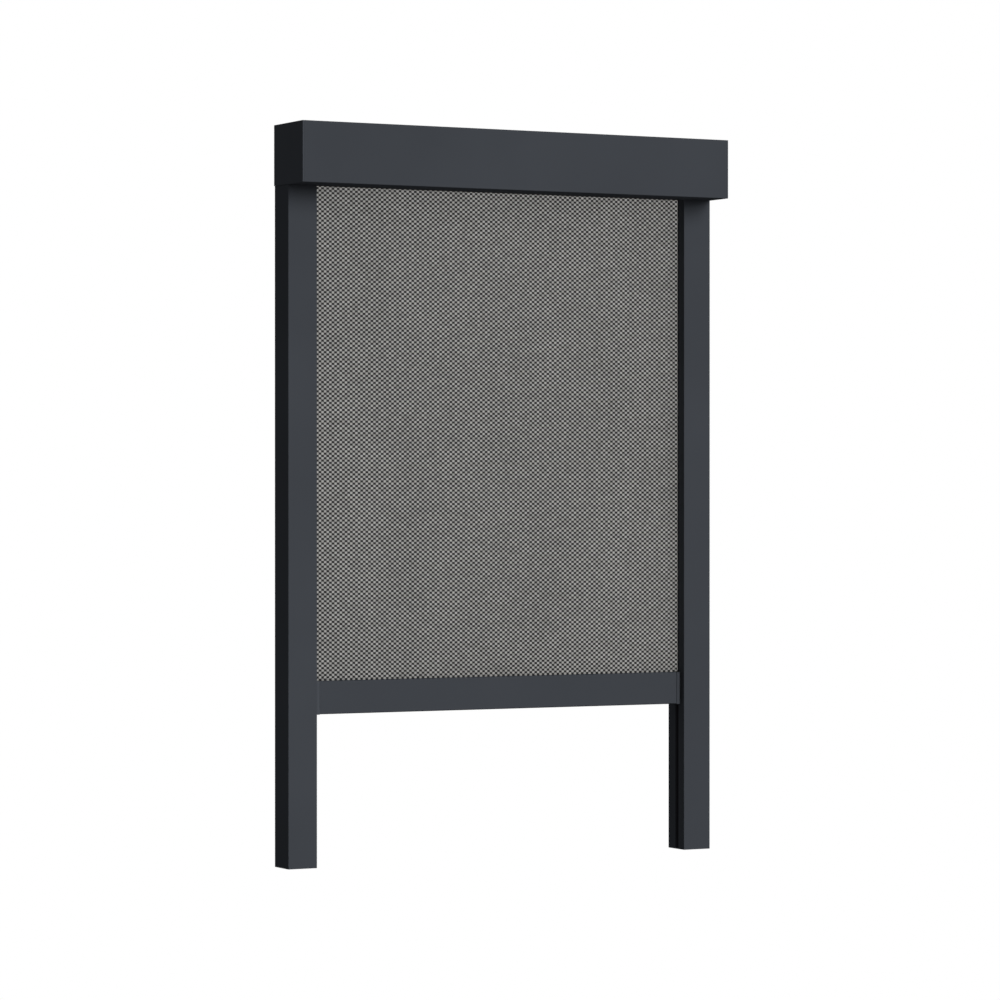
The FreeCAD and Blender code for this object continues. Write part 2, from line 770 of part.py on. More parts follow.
# The bar's section, from its lowest wall to its top.
bar_skin_bottom = bar_bottom + seal_stand
keder_seat_z = bar_top - bar_wall - bar_keder_radius - keder_clearance
web_z = keder_seat_z - bar_keder_radius - keder_clearance - bar_wall
seal_floor = bar_skin_bottom + bar_wall + seal_groove_height
weight_z0 = seal_floor + bar_wall
weight_z1 = weight_z0 + weight_height
bar_port_z = web_z + bar_wall / 2
bar_ports = [bar_front + bar_wall + port_sink, bar_rear - bar_wall - port_sink]


def bottom_bar():
    """Hollow extrusion with a keder groove on top, a weight chamber and a seal groove below."""
    skin = block(-bar_half, bar_half, bar_front, bar_rear, bar_skin_bottom, bar_top)
    corners = [V(0, y, z) for y in (bar_front, bar_rear) for z in (bar_skin_bottom, bar_top)]
    skin = rounded(skin, bar_corner, V(1, 0, 0), corners)
    inner = (-bar_half, bar_half, bar_front + bar_wall, bar_rear - bar_wall)
    upper = block(*inner, web_z + bar_wall, bar_top - bar_wall)
    chamber = block(*inner, seal_floor + bar_wall, web_z)
    half = seal_groove_width / 2
    groove = block(-bar_half, bar_half, fabric_y - half, fabric_y + half,
                   bar_skin_bottom + bar_wall, seal_floor)
    side_front = block(-bar_half, bar_half, bar_front + bar_wall,
                       fabric_y - half - bar_wall, bar_skin_bottom + bar_wall, seal_floor)
    side_rear = block(-bar_half, bar_half, fabric_y + half + bar_wall,
                      bar_rear - bar_wall, bar_skin_bottom + bar_wall, seal_floor)
    mouth = block(-bar_half, bar_half, fabric_y - seal_mouth / 2, fabric_y + seal_mouth / 2,
                  bar_skin_bottom, bar_skin_bottom + bar_wall)
    shape = skin.cut([upper, chamber, groove, side_front, side_rear, mouth])
    seat = bar_keder_radius + keder_clearance
    ring = rod_x(seat + bar_wall, fabric_y, keder_seat_z, -bar_half, bar_half)
    ring = ring.common(block(-bar_half, bar_half, bar_front, bar_rear, web_z, bar_top))
    ribs = []
    rib_gap = weight_thickness / 2 + fit_gap
    for side in (-1, 1):
        for z in (weight_z0 + rib_margin, weight_z1 - rib_margin - bar_wall):
            y_near = fabric_y + side * rib_gap
            y_far = fabric_y + side * (bar_depth / 2 - bar_wall / 2)
            ribs.append(block(-bar_half, bar_half, min(y_near, y_far), max(y_near, y_far),
                              z, z + bar_wall))
    ports = [port_x(y, bar_port_z, -bar_half, bar_half, 90) for y in bar_ports]
    shape = joined([shape, ring] + ribs + ports)
    slot = block(-bar_half, bar_half, fabric_y - bar_mouth / 2, fabric_y + bar_mouth / 2,
                 keder_seat_z, bar_top)
    drills = [rod_x(port_bore, y, bar_port_z, -bar_half, bar_half) for y in bar_ports]
    return shape.cut([rod_x(seat, fabric_y, keder_seat_z, -bar_half, bar_half), slot] + drills)


def bar_weight():
    end = bar_half - spigot_length - fit_gap
    return block(-end, end, fabric_y - weight_thickness / 2, fabric_y + weight_thickness / 2,
                 weight_z0, weight_z1)


def bar_keder():
    """Round welt on the fabric's lower edge, in the bar's groove."""
    rod = rod_x(bar_keder_radius, fabric_y, keder_seat_z, -bar_half, bar_half)
    stem = block(-bar_half, bar_half, fabric_y - fabric_thickness / 2,
                 fabric_y + fabric_thickness / 2, keder_seat_z, bar_top)
    return joined([rod, stem])


def bar_seal():
    """Rubber strip whose T-shaped root sits in the bar's groove."""
    root = seal_groove_width / 2 - seal_root_gap
    neck = seal_mouth / 2 - seal_neck_gap
    foot = seal_mouth / 2 + seal_foot_lip
    z0 = bar_skin_bottom
    z1 = z0 + bar_wall + seal_neck_gap
    rear_side = [
        (foot - seal_stand, bar_bottom),
        (foot, z0),
        (neck, z0),
        (neck, z1),
        (root, z1),
        (root - seal_root_bevel, z1 + seal_root_height),
    ]
    outline = [(fabric_y + across, z) for across, z in rear_side]
    outline += [(fabric_y - across, z) for across, z in reversed(rear_side)]
    return prism_x(outline, -bar_half, bar_half)


def bar_end_cap():
    """Right end cap of the bar, bevelled at its face, with the tongue that runs in the guide."""
    plate = block(bar_half, bar_cap_end, bar_front, bar_rear, bar_bottom, bar_top)
    rim = [e for e in plate.Edges if abs(e.BoundBox.XMax - bar_half) < tolerance]
    plate = plate.makeChamfer(bar_seam_bevel, rim)
    outer = [e for e in plate.Edges if abs(e.BoundBox.XMin - bar_cap_end) < tolerance]
    plate = plate.makeChamfer(bar_cap_bevel, outer)
    reach = half_clear + tongue_reach
    tongue = block(bar_cap_end - bar_cap_bevel, reach, fabric_y - tongue_thickness / 2,
                   fabric_y + tongue_thickness / 2,
                   bar_bottom + tongue_margin, bar_top - tongue_margin)
    tips = [e for e in tongue.Edges if abs(e.BoundBox.XMin - reach) < tolerance
            and e.BoundBox.ZLength < tolerance]
    tongue = tongue.makeFillet(tongue_round, tips)
    shape = joined([plate, tongue])
    half = weight_thickness / 2 + spigot_side
    spigot = block(bar_half - spigot_length, bar_half, fabric_y - half, fabric_y + half,
                   weight_z0 + rib_margin + bar_wall + fit_gap,
                   weight_z1 - rib_margin - bar_wall - fit_gap)
    shape = joined([shape, spigot])
    holes = []
    for y in bar_ports:
        holes.append(rod_x(screw_radius + fit_gap, y, bar_port_z, bar_half, bar_cap_end))
        holes.append(rod_x(screw_head_radius + fit_gap, y, bar_port_z,
                           bar_cap_end - screw_head_height - bar_screw_sink, bar_cap_end))
    return shape.cut(holes)


def bar_cap_screws():
    """Two pan-head screws in each end cap of the bar."""
    screws = []
    seat = bar_cap_end - screw_head_height - bar_screw_sink
    for y in bar_ports:
        head = rod_x(screw_head_radius, y, bar_port_z, seat, seat + screw_head_height)
        shank = rod_x(screw_radius, y, bar_port_z, seat - screw_length, seat)
        socket = rod_x(drive_radius, y, bar_port_z, seat + screw_head_height - socket_depth,
                       seat + screw_head_height)
        screws.append(joined([head, shank]).cut(socket))
    return Part.makeCompound(screws + [mirrored(s) for s in screws])


# Guide sections are drawn for the right guide, outwards from its inner face.
outer_x = half_clear + guide_width
skin_x = outer_x - guide_wall
base_side = skin_x - clip_gap
chamber_front = fabric_y - chamber_width / 2
chamber_rear = fabric_y + chamber_width / 2
guide_port = (base_side - guide_wall - port_sink, -guide_wall - port_sink)
wall_holes = [guide_foot + wall_hole_end, (guide_foot + guide_top) / 2, guide_top - wall_hole_end]


def guide_base():
    """Rail that is screwed to the wall, with the chamber of the zip insert."""
    w = guide_wall
    arm_front = -guide_depth + guide_wall + clip_gap
    outline = [
        (half_clear, 0),
        (half_clear, slot_rear),
        (half_clear + w, slot_rear),
        (half_clear + w, chamber_rear),
        (chamber_end, chamber_rear),
        (chamber_end, chamber_front),
        (half_clear + w + chamber_mouth, chamber_front),
        (half_clear + w + chamber_mouth, chamber_front - w),
        (chamber_end, chamber_front - w),
        (chamber_end, arm_front),
        (chamber_end + w, arm_front),
        (chamber_end + w + clip_bead, arm_front + clip_bead),
        (chamber_end + w + clip_bead, arm_front + 2 * clip_bead),
        (chamber_end + w, arm_front + 3 * clip_bead),
        (chamber_end + w, chamber_rear + w),
        (half_clear + w, chamber_rear + w),
        (half_clear + w, -w),
        (base_side - w, -w),
        (base_side - w, -side_flange),
        (base_side, -side_flange),
        (base_side, 0),
    ]
    rail = prism_z(outline, rail_foot, guide_top)
    x, y = guide_port
    port = port_z(x, y, rail_foot, guide_top, down_forwards)
    gusset = block(x, base_side - w, y, -w, rail_foot, guide_top)
    rail = joined([rail, port, gusset])
    drills = [rod_z(port_bore, x, y, rail_foot, guide_top)]
    drills += [rod_y(wall_hole_radius, half_clear + wall_hole_out, z, -w, 0) for z in wall_holes]
    return rail.cut(drills)


def guide_cover():
    """Clip-on cover: the front, the outer side and the lip in front of the slot."""
    w = guide_wall
    front = -guide_depth
    clip = chamber_end + w + clip_bead + clip_gap
    tip = front + w + 2 * clip_gap + 5 * clip_bead
    barb = -side_flange - clip_gap
    outline = [
        (half_clear, slot_front),
        (half_clear, front),
        (outer_x, front),
        (outer_x, 0),
        (skin_x, 0),
        (skin_x, barb),
        (skin_x - clip_bead, barb),
        (skin_x - clip_bead, barb - clip_bead),
        (skin_x, barb - 2 * clip_bead),
        (skin_x, front + w),
        (clip + w, front + w),
        (clip + w, tip),
        (clip - clip_bead, tip),
        (clip - clip_bead, tip - clip_bead),
        (clip, tip - 2 * clip_bead),
        (clip, front + w),
        (half_clear + w, front + w),
        (half_clear + w, slot_front),
    ]
    cover = prism_z(outline, rail_foot, guide_top)
    corners = [V(half_clear, front, 0), V(outer_x, front, 0)]
    return rounded(cover, guide_corner, V(0, 0, 1), corners)


def insert_outline():
    """Outer outline of the zip insert: a nose in the slot that widens behind the lips."""
    x0 = half_clear + insert_start
    x1 = half_clear + insert_neck
    x2 = insert_back
    nose, body = insert_nose / 2, insert_width / 2
    return [
        (x0, fabric_y - nose),
        (x1, fabric_y - nose),
        (x1, fabric_y - body),
        (x2, fabric_y - body),
        (x2, fabric_y + body),
        (x1, fabric_y + body),
        (x1, fabric_y + nose),
        (x0, fabric_y + nose),
    ]


def insert_bore():
    """The throat and the chamber in which the zip runs."""
    throat = insert_throat / 2
    room = insert_width / 2 - insert_wall
    x1 = half_clear + insert_neck + throat_depth
    x2 = x1 + throat_flare
    return [
        (half_clear, fabric_y - throat),
        (x1, fabric_y - throat),
        (x2, fabric_y - room),
        (insert_end, fabric_y - room),
        (insert_end, fabric_y + room),
        (x2, fabric_y + room),
        (x1, fabric_y + throat),
        (half_clear, fabric_y + throat),
    ]


def zip_insert():
    """Extruded plastic channel that holds the zip and lets the fabric pass its throat."""
    z0, z1 = rail_foot, guide_top - funnel_below
    return prism_z(insert_outline(), z0, z1).cut(prism_z(insert_bore(), z0, z1))


def inlet_funnel():
    """Moulded inlet on the insert's top, whose mouth widens towards the roller."""
    z0 = guide_top - funnel_below
    z1 = guide_top + funnel_above
    brim = insert_width / 2 + funnel_brim
    body = prism_z(insert_outline(), z0, guide_top + 2 * fit_gap)
    collar = block(half_clear + insert_start, insert_back, fabric_y - brim, fabric_y + brim,
                   guide_top + fit_gap, z1)
    bore = prism_z(insert_bore(), z0, z1)
    ends = []
    for z, half in ((guide_top, insert_throat / 2), (z1, insert_width / 2)):
        corners = [V(half_clear, fabric_y - half, z), V(insert_end, fabric_y - half, z),
                   V(insert_end, fabric_y + half, z), V(half_clear, fabric_y + half, z)]
        ends.append(Part.makePolygon(corners + corners[:1]))
    flare = Part.makeLoft(ends, True, True)
    return joined([body, collar]).cut([bore, flare])


def guide_end_cap():
    """Plug in the foot of the guide: the plate below the rails and ribs up inside them."""
    plate = block(half_clear, outer_x, -guide_depth, 0, guide_foot, rail_foot)
    corners = [V(x, -guide_depth, 0) for x in (half_clear, outer_x)]
    plate = rounded(plate, guide_corner, V(0, 0, 1), corners)
    rim = [e for e in plate.Edges if abs(e.BoundBox.ZMax - guide_foot) < tolerance]
    plate = plate.makeChamfer(cap_edge, rim)
    x0 = chamber_end + guide_wall + cap_plug_gap
    x1 = guide_port[0] - port_bore - port_wall - fit_gap
    y0 = -guide_depth + guide_wall + cap_plug_front
    y1 = -guide_wall - fit_gap
    z1 = rail_foot + cap_plug_height
    w = cap_plug_wall
    plug = block(x0, x1, y0, y1, rail_foot, z1)
    plug = plug.cut(block(x0 + w, x1 - w, y0 + w, y1 - w, rail_foot, z1))
    x, y = guide_port
    hole = rod_z(screw_radius + fit_gap, x, y, guide_foot, rail_foot)
    sink = countersink(V(x, y, guide_foot), V(0, 0, 1))
    return joined([plate, plug]).cut([hole, sink])


def guide_cap_screws():
    x, y = guide_port
    screw = countersunk_screw(V(x, y, guide_foot), V(0, 0, 1), screw_length)
    return Part.makeCompound([screw, mirrored(screw)])


def bar_stop():
    """Rubber block in the foot of the insert, on which the bar's tongue lands."""
    room = insert_width / 2 - insert_wall - clip_gap
    x0 = half_clear + insert_neck + throat_depth + throat_flare + fit_gap
    return block(x0, insert_end - clip_gap, fabric_y - room, fabric_y + room,
                 rail_foot, rail_foot + stop_height)


def cable_grommet():
    """Soft grommet in the back wall, flush with the wall face, with a flange inside."""
    body = rod_y(grommet_radius - bearing_clearance, grommet_x, grommet_z, -box_wall, 0)
    flange = rod_y(grommet_radius + grommet_flange, grommet_x, grommet_z,
                   -box_wall - grommet_inside, -box_wall)
    face = -box_wall - grommet_inside
    rims = [e for e in flange.Edges if len(e.Vertexes) == 1
            and abs(e.BoundBox.YMax - face) < tolerance]
    flange = flange.makeFillet(grommet_round, rims)
    bore = rod_y(grommet_bore, grommet_x, grommet_z, -box_wall - grommet_inside, 0)
    return joined([body, flange]).cut(bore)


save("box_rear_profile", box_rear_profile())
save("box_front_cover", box_front_cover())
save_pair("box_end_cap", box_end_cap())
save("box_cap_screws", cap_screws())
save("cover_screws", cover_screws())
save("bracket_bolts", bracket_bolts())
save("cable_grommet", cable_grommet())
save("motor_bracket", motor_bracket())
save("tubular_motor", tubular_motor())
save("motor_head", motor_head())
save("motor_clip", motor_clip())
save("motor_shaft", motor_shaft())
save("motor_crown", motor_crown())
save("drive_wheel", drive_wheel())
save("roller_tube", roller_tube())
save("idler_plug", idler_plug())
save("idler_pin", idler_pin())
save("idler_clip", idler_clip())
save("idler_bush", idler_bush())
save("idler_bracket", idler_bracket())
save("tube_keder", tube_keder())
save("wound_fabric", wound_fabric())
save("screen_fabric", screen_fabric())
save_pair("zip_tape", zip_tape())
save("bottom_bar", bottom_bar())
save("bar_keder", bar_keder())
save("bar_weight", bar_weight())
save("bar_seal", bar_seal())
save_pair("bar_end_cap", bar_end_cap())
save("bar_cap_screws", bar_cap_screws())
save_pair("guide_base", guide_base())
save_pair("guide_cover", guide_cover())
save_pair("zip_insert", zip_insert())
save_pair("inlet_funnel", inlet_funnel())
save_pair("guide_end_cap", guide_end_cap())
save("guide_cap_screws", guide_cap_screws())
save_pair("bar_stop", bar_stop())

travel_down = bar_bottom + tongue_margin - (rail_foot + stop_height)
travel_up = roller_z - wound_radius - bar_top
print("travel down", round(travel_down, 2), "to the stops")
print("roller axis", round(roller_y, 3), round(roller_z, 3))
print("bar top to roller's lowest point", round(travel_up, 2))
print("overall width", 2 * half_box, "height", box_height + guide_length)
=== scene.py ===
# %% [markdown]
# # An exterior roller blind
# The blind hangs on a wall: a square headbox on top, a guide on each side, a screen between
# them and a weighted bar at the screen's foot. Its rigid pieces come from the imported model,
# which this script leaves where it is. Here they get their finishes, and the cloth, which the
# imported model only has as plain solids, is made again as woven sheets.

# %% Load the frame
import json
import math

import bmesh
import bpy
import numpy as np
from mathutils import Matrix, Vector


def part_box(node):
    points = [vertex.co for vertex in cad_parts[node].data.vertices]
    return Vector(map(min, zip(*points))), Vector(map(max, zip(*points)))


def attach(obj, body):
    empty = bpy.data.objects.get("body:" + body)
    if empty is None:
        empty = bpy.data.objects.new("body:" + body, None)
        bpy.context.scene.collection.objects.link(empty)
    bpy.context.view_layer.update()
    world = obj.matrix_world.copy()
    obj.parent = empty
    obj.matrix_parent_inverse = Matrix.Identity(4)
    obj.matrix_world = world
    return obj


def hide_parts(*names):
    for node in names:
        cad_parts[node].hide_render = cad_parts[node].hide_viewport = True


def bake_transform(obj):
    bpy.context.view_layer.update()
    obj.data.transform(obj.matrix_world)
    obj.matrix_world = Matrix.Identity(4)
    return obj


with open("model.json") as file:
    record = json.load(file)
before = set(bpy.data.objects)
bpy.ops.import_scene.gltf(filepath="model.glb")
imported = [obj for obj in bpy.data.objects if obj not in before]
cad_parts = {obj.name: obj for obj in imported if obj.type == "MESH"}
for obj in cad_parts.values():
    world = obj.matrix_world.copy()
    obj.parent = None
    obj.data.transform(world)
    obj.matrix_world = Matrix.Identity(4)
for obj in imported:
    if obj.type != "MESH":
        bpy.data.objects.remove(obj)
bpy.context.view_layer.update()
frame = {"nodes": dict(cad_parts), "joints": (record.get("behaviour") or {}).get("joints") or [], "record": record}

nodes = frame["nodes"]
record = frame["record"]

# %% [markdown]
# ## The camera
# The photograph was taken from the left, far away and with a long lens, at about the height
# of the screen's middle: the uprights stay upright and the headbox's underside just shows.
# The camera's place, heading and lens were worked out from the corners of the headbox, the
# guides and the bar, so the model's corners fall where the photograph has them. The numbers
# are for a square frame.

# %% Camera
EYE = (-3.191, -5.981, -0.544)
HEADING = math.radians(28.217)     # to the right of straight at the wall
TILT = math.radians(-0.193)        # below level
SENSOR = 36.0                      # millimetres, like the lens
LENS = 144.2
FARTHEST = 100.0                   # metres that the camera sees


def make_camera():
    lens = bpy.data.cameras.new("camera")
    lens.sensor_width = SENSOR
    lens.lens = LENS
    lens.clip_end = FARTHEST
    camera = bpy.data.objects.new("camera", lens)
    camera.location = EYE
    camera.rotation_euler = (math.pi / 2 + TILT, 0.0, -HEADING)
    bpy.context.scene.collection.objects.link(camera)
    bpy.context.scene.camera = camera


make_camera()
print("camera at", EYE, "lens", LENS)

# %% [markdown]
# ## Nodes
# The world, the floor and every finish are trees of nodes, each of which does one small sum.
# These helpers add a node, feed its sockets, and carry a value from one range to another.

# %% Node helpers
NOISE_RANGE = (0.3, 0.7)           # where nearly all of a noise lies


def add_node(tree, kind, **properties):
    """A node of a kind, with some of its properties set."""
    node = tree.nodes.new(kind)
    for key, value in properties.items():
        setattr(node, key, value)
    return node


def feed(tree, value, socket):
    """Links another node's socket to this one, or sets this one to a number."""
    if isinstance(value, bpy.types.NodeSocket):
        tree.links.new(value, socket)
    else:
        socket.default_value = value


def math_node(tree, operation, *values):
    """One arithmetic node, whose inputs are sockets or numbers."""
    node = add_node(tree, "ShaderNodeMath", operation=operation)
    for socket, value in zip(node.inputs, values):
        feed(tree, value, socket)
    return node.outputs[0]


def in_range(tree, value, low, high, source=NOISE_RANGE, easing="LINEAR"):
    """Carries a value from the source range to low and high, and holds it at their ends."""
    node = add_node(tree, "ShaderNodeMapRange", interpolation_type=easing)
    node.inputs["From Min"].default_value = source[0]
    node.inputs["From Max"].default_value = source[1]
    node.inputs["To Min"].default_value = low
    node.inputs["To Max"].default_value = high
    tree.links.new(value, node.inputs["Value"])
    return node.outputs["Result"]


def seen_directly(tree):
    """1 where the camera, a reflection or glass looks, and 0 where light is gathered."""
    path = add_node(tree, "ShaderNodeLightPath").outputs
    seen = math_node(tree, "MAXIMUM", path["Is Camera Ray"], path["Is Glossy Ray"])
    return math_node(tree, "MAXIMUM", seen, path["Is Transmission Ray"])


print("node helpers ready")

# %% [markdown]
# ## Light and world
# The photograph has one broad soft light from the front and a little from the right, so that
# front faces are even, the left sides fall to a quarter of that, and the headbox shades the
# tops of the guides with a soft edge. A sun lamp with a wide disc gives just that, with no
# fall-off from top to bottom. The cloth gets a twin of it, for a reason that comes with the
# cloth. A lamp behind keeps the back readable. The world is dim for the light that it gives,
# and white where the camera or a reflection looks at it.

# %% Light and world
KEY_POWER = 2.9
KEY_FROM = (25.0, 20.0)            # degrees to the right of the front, and above level
KEY_DISC = 41.0                    # degrees across
BACK_POWER = 2.6
BACK_FROM = (150.0, 30.0)
WORLD_LIGHT = 0.20


def aim_sun(name, power, side, height):
    """A sun lamp that shines from so many degrees to the right of the front and up."""
    sun = bpy.data.lights.new(name, "SUN")
    sun.energy = power
    sun.angle = math.radians(KEY_DISC)
    lamp = bpy.data.objects.new(name, sun)
    lamp.rotation_euler = (math.radians(90 - height), 0.0, math.radians(side))
    bpy.context.scene.collection.objects.link(lamp)
    return lamp


def make_world():
    """White, with a strength of 1 where it is seen and WORLD_LIGHT where it lights."""
    world = bpy.data.worlds.new("studio")
    world.use_nodes = True
    tree = world.node_tree
    background = tree.nodes["Background"]
    background.inputs["Color"].default_value = (1.0, 1.0, 1.0, 1.0)
    level = in_range(tree, seen_directly(tree), WORLD_LIGHT, 1.0, source=(0.0, 1.0))
    tree.links.new(level, background.inputs["Strength"])
    bpy.context.scene.world = world


bpy.context.scene.view_settings.view_transform = "Standard"
make_world()
key_light = aim_sun("key_light", KEY_POWER, *KEY_FROM)
cloth_light = aim_sun("cloth_light", KEY_POWER, *KEY_FROM)
aim_sun("back_light", BACK_POWER, *BACK_FROM)
print("key", KEY_POWER, "from", KEY_FROM, "world", WORLD_LIGHT)

# %% [markdown]
# ## The floor
# The blind is fixed to a wall, so the floor lies a metre below its feet, out of the
# photograph's frame. It is a disc that thins out to nothing at its rim, so no horizon shows
# behind the blind from any side. One flat polygon is enough: a point of its rim is the centre
# plus the radius times the cosine and sine of an angle, and the fading is the material's
# work. The headbox is dark underneath in the photograph, so the floor's paint throws little
# light up, and a glow that only the camera and reflections see makes it pale again.

# %% Floor
FLOOR_Z = -2.2
FLOOR_RADIUS = 1.8
FLOOR_POINTS = 96
FLOOR_PALE = 0.2
FLOOR_GLOW = 0.70
FADE_FROM = 0.35                   # shares of the radius
FADE_TO = 0.98


def floor_fade(tree):
    """0 in the middle and 1 at the rim, from the distance to the middle in the plane."""
    coords = add_node(tree, "ShaderNodeTexCoord")
    flat = add_node(tree, "ShaderNodeVectorMath", operation="MULTIPLY")
    flat.inputs[1].default_value = (1.0, 1.0, 0.0)
    reach = add_node(tree, "ShaderNodeVectorMath", operation="LENGTH")
    tree.links.new(coords.outputs["Object"], flat.inputs[0])
    tree.links.new(flat.outputs[0], reach.inputs[0])
    ends = (FLOOR_RADIUS * FADE_FROM, FLOOR_RADIUS * FADE_TO)
    return in_range(tree, reach.outputs["Value"], 0.0, 1.0, source=ends, easing="SMOOTHSTEP")


def floor_material():
    """Matt paint plus the glow, mixed with clear by the fade."""
    mat = bpy.data.materials.new("pale_floor")
    mat.use_nodes = True
    tree = mat.node_tree
    tree.nodes.clear()
    paint = add_node(tree, "ShaderNodeBsdfDiffuse")
    paint.inputs["Color"].default_value = (FLOOR_PALE, FLOOR_PALE, FLOOR_PALE, 1.0)
    glow = add_node(tree, "ShaderNodeEmission")
    level = math_node(tree, "MULTIPLY", seen_directly(tree), FLOOR_GLOW)
    lit = add_node(tree, "ShaderNodeAddShader")
    clear = add_node(tree, "ShaderNodeBsdfTransparent")
    mix = add_node(tree, "ShaderNodeMixShader")
    out = add_node(tree, "ShaderNodeOutputMaterial")
    tree.links.new(level, glow.inputs["Strength"])
    tree.links.new(paint.outputs[0], lit.inputs[0])
    tree.links.new(glow.outputs[0], lit.inputs[1])
    tree.links.new(floor_fade(tree), mix.inputs["Fac"])
    tree.links.new(lit.outputs[0], mix.inputs[1])
    tree.links.new(clear.outputs[0], mix.inputs[2])
    tree.links.new(mix.outputs[0], out.inputs["Surface"])
    return mat


def make_floor():
    points = [(FLOOR_RADIUS * math.cos(a), FLOOR_RADIUS * math.sin(a), FLOOR_Z)
              for a in np.linspace(0, 2 * math.pi, FLOOR_POINTS, endpoint=False)]
    mesh = bpy.data.meshes.new("floor")
    mesh.from_pydata(points, [], [list(range(len(points)))])
    mesh.materials.append(floor_material())
    floor = bpy.data.objects.new("floor", mesh)
    bpy.context.scene.collection.objects.link(floor)


make_floor()
print("floor at z", FLOOR_Z, "radius", FLOOR_RADIUS)

# %% [markdown]
# ## How a finish is made
# Every finish starts from one shader. A noise is counted in cells to the metre, on the
# piece's own Object coordinates, and its cells can be drawn out along an axis. It shifts the
# tone or the roughness, and it drives a bump, whose distance is the depth of the texture in
# metres.

# %% Finish helpers
CAP_STEP = 0.0022                  # how far the bar's caps stand proud
CAP_ROUND = (-0.0004, 0.0022)      # where the step rises, from the joint outwards


def shader_of(name, roughness, metallic=0.0, specular=0.5):
    """A new material with its numbers set on the shader's own sockets."""
    mat = bpy.data.materials.new(name)
    mat.use_nodes = True
    shader = mat.node_tree.nodes["Principled BSDF"]
    shader.inputs["Roughness"].default_value = roughness
    shader.inputs["Metallic"].default_value = metallic
    shader.inputs["Specular IOR Level"].default_value = specular
    return mat, mat.node_tree, shader


def noise_of(tree, cells, detail=2.0, roughness=0.5, stretch=(1.0, 1.0, 1.0)):
    """Noise with so many cells to the metre, which are longer along an axis by its stretch."""
    coords = add_node(tree, "ShaderNodeTexCoord")
    mapping = add_node(tree, "ShaderNodeMapping")
    mapping.inputs["Scale"].default_value = [1.0 / s for s in stretch]
    noise = add_node(tree, "ShaderNodeTexNoise")
    noise.inputs["Scale"].default_value = cells
    noise.inputs["Detail"].default_value = detail
    noise.inputs["Roughness"].default_value = roughness
    tree.links.new(coords.outputs["Object"], mapping.inputs["Vector"])
    tree.links.new(mapping.outputs["Vector"], noise.inputs["Vector"])
    return noise.outputs["Fac"]


def paint(tree, shader, colour, tone):
    """The base colour is a colour times a tone. Both are sockets, or the colour is fixed."""
    scale = add_node(tree, "ShaderNodeVectorMath", operation="SCALE")
    feed(tree, colour, scale.inputs[0])
    tree.links.new(tone, scale.inputs["Scale"])
    tree.links.new(scale.outputs["Vector"], shader.inputs["Base Color"])


def roughen(tree, shader, noise, low, high, source=NOISE_RANGE):
    """The roughness follows a noise between low and high."""
    tree.links.new(in_range(tree, noise, low, high, source), shader.inputs["Roughness"])


def bump_of(tree, shader, height, distance):
    """Tilts the surface as if the height, from 0 to 1, were so many metres, on top of the bump
    that the shader has already."""
    bump = add_node(tree, "ShaderNodeBump")
    bump.inputs["Distance"].default_value = distance
    tree.links.new(height, bump.inputs["Height"])
    if shader.inputs["Normal"].is_linked:
        tree.links.new(shader.inputs["Normal"].links[0].from_socket, bump.inputs["Normal"])
    tree.links.new(bump.outputs["Normal"], shader.inputs["Normal"])


def object_place(tree):
    """The sockets X, Y and Z of a point in metres."""
    coords = add_node(tree, "ShaderNodeTexCoord")
    split = add_node(tree, "ShaderNodeSeparateXYZ")
    tree.links.new(coords.outputs["Object"], split.inputs[0])
    return split.outputs


def step_at_joint(tree, shader, joint):
    """A bump that sets what lies beyond the planes where x is plus or minus joint a little
    proud, with a round edge. joint 0 leaves the surface as it is."""
    if not joint:
        return
    away = math_node(tree, "ABSOLUTE", object_place(tree)["X"])
    ends = (joint + CAP_ROUND[0], joint + CAP_ROUND[1])
    bump_of(tree, shader, in_range(tree, away, 0.0, 1.0, source=ends), distance=CAP_STEP)


print("finish helpers ready")

# %% [markdown]
# ## The powder coat
# Headbox, guides and bar are aluminium with a fine satin powder coat. The powder melts into a
# skin that is not quite flat: tiny hills half a millimetre apart, and a finer grain on them.
# Two noises drive a bump for that, and a very slow one shifts the tone by a few percent from
# place to place. The coat's micro-texture scatters nearly all of the light, and the dark faces
# of the photograph show no pale surroundings even where they are seen at a flat angle, so the
# shader has no mirror reflection at all.

# %% Powder coat
COAT = (0.051, 0.056, 0.065)
SCREW_PAINT = (0.060, 0.064, 0.070)
GRAIN_SHARE = 0.35                 # height of the grain on the hills


def powder_coat(name="powder_coat", joint=0.0):
    mat, tree, shader = shader_of(name, 0.55, specular=0.0)
    slow = noise_of(tree, cells=4.0, detail=3.0)
    paint(tree, shader, COAT, in_range(tree, slow, 0.95, 1.05))
    step_at_joint(tree, shader, joint)
    hills = noise_of(tree, cells=1900.0, detail=1.0)
    grain = noise_of(tree, cells=6000.0)
    height = math_node(tree, "MULTIPLY_ADD", grain, GRAIN_SHARE, hills)
    bump_of(tree, shader, height, distance=0.00004)
    roughen(tree, shader, grain, 0.48, 0.62)
    return mat


def moulded_plastic(name="moulded_plastic", lighter=1.0, joint=0.0):
    """The end caps: the coat's grey, with the eroded texture of a mould."""
    mat, tree, shader = shader_of(name, 0.6, specular=0.0)
    slow = noise_of(tree, cells=9.0)
    paint(tree, shader, COAT, in_range(tree, slow, 0.95 * lighter, 1.03 * lighter))
    step_at_joint(tree, shader, joint)
    texture = noise_of(tree, cells=3200.0, detail=3.0, roughness=0.65)
    bump_of(tree, shader, texture, distance=0.00005)
    roughen(tree, shader, texture, 0.52, 0.68)
    return mat


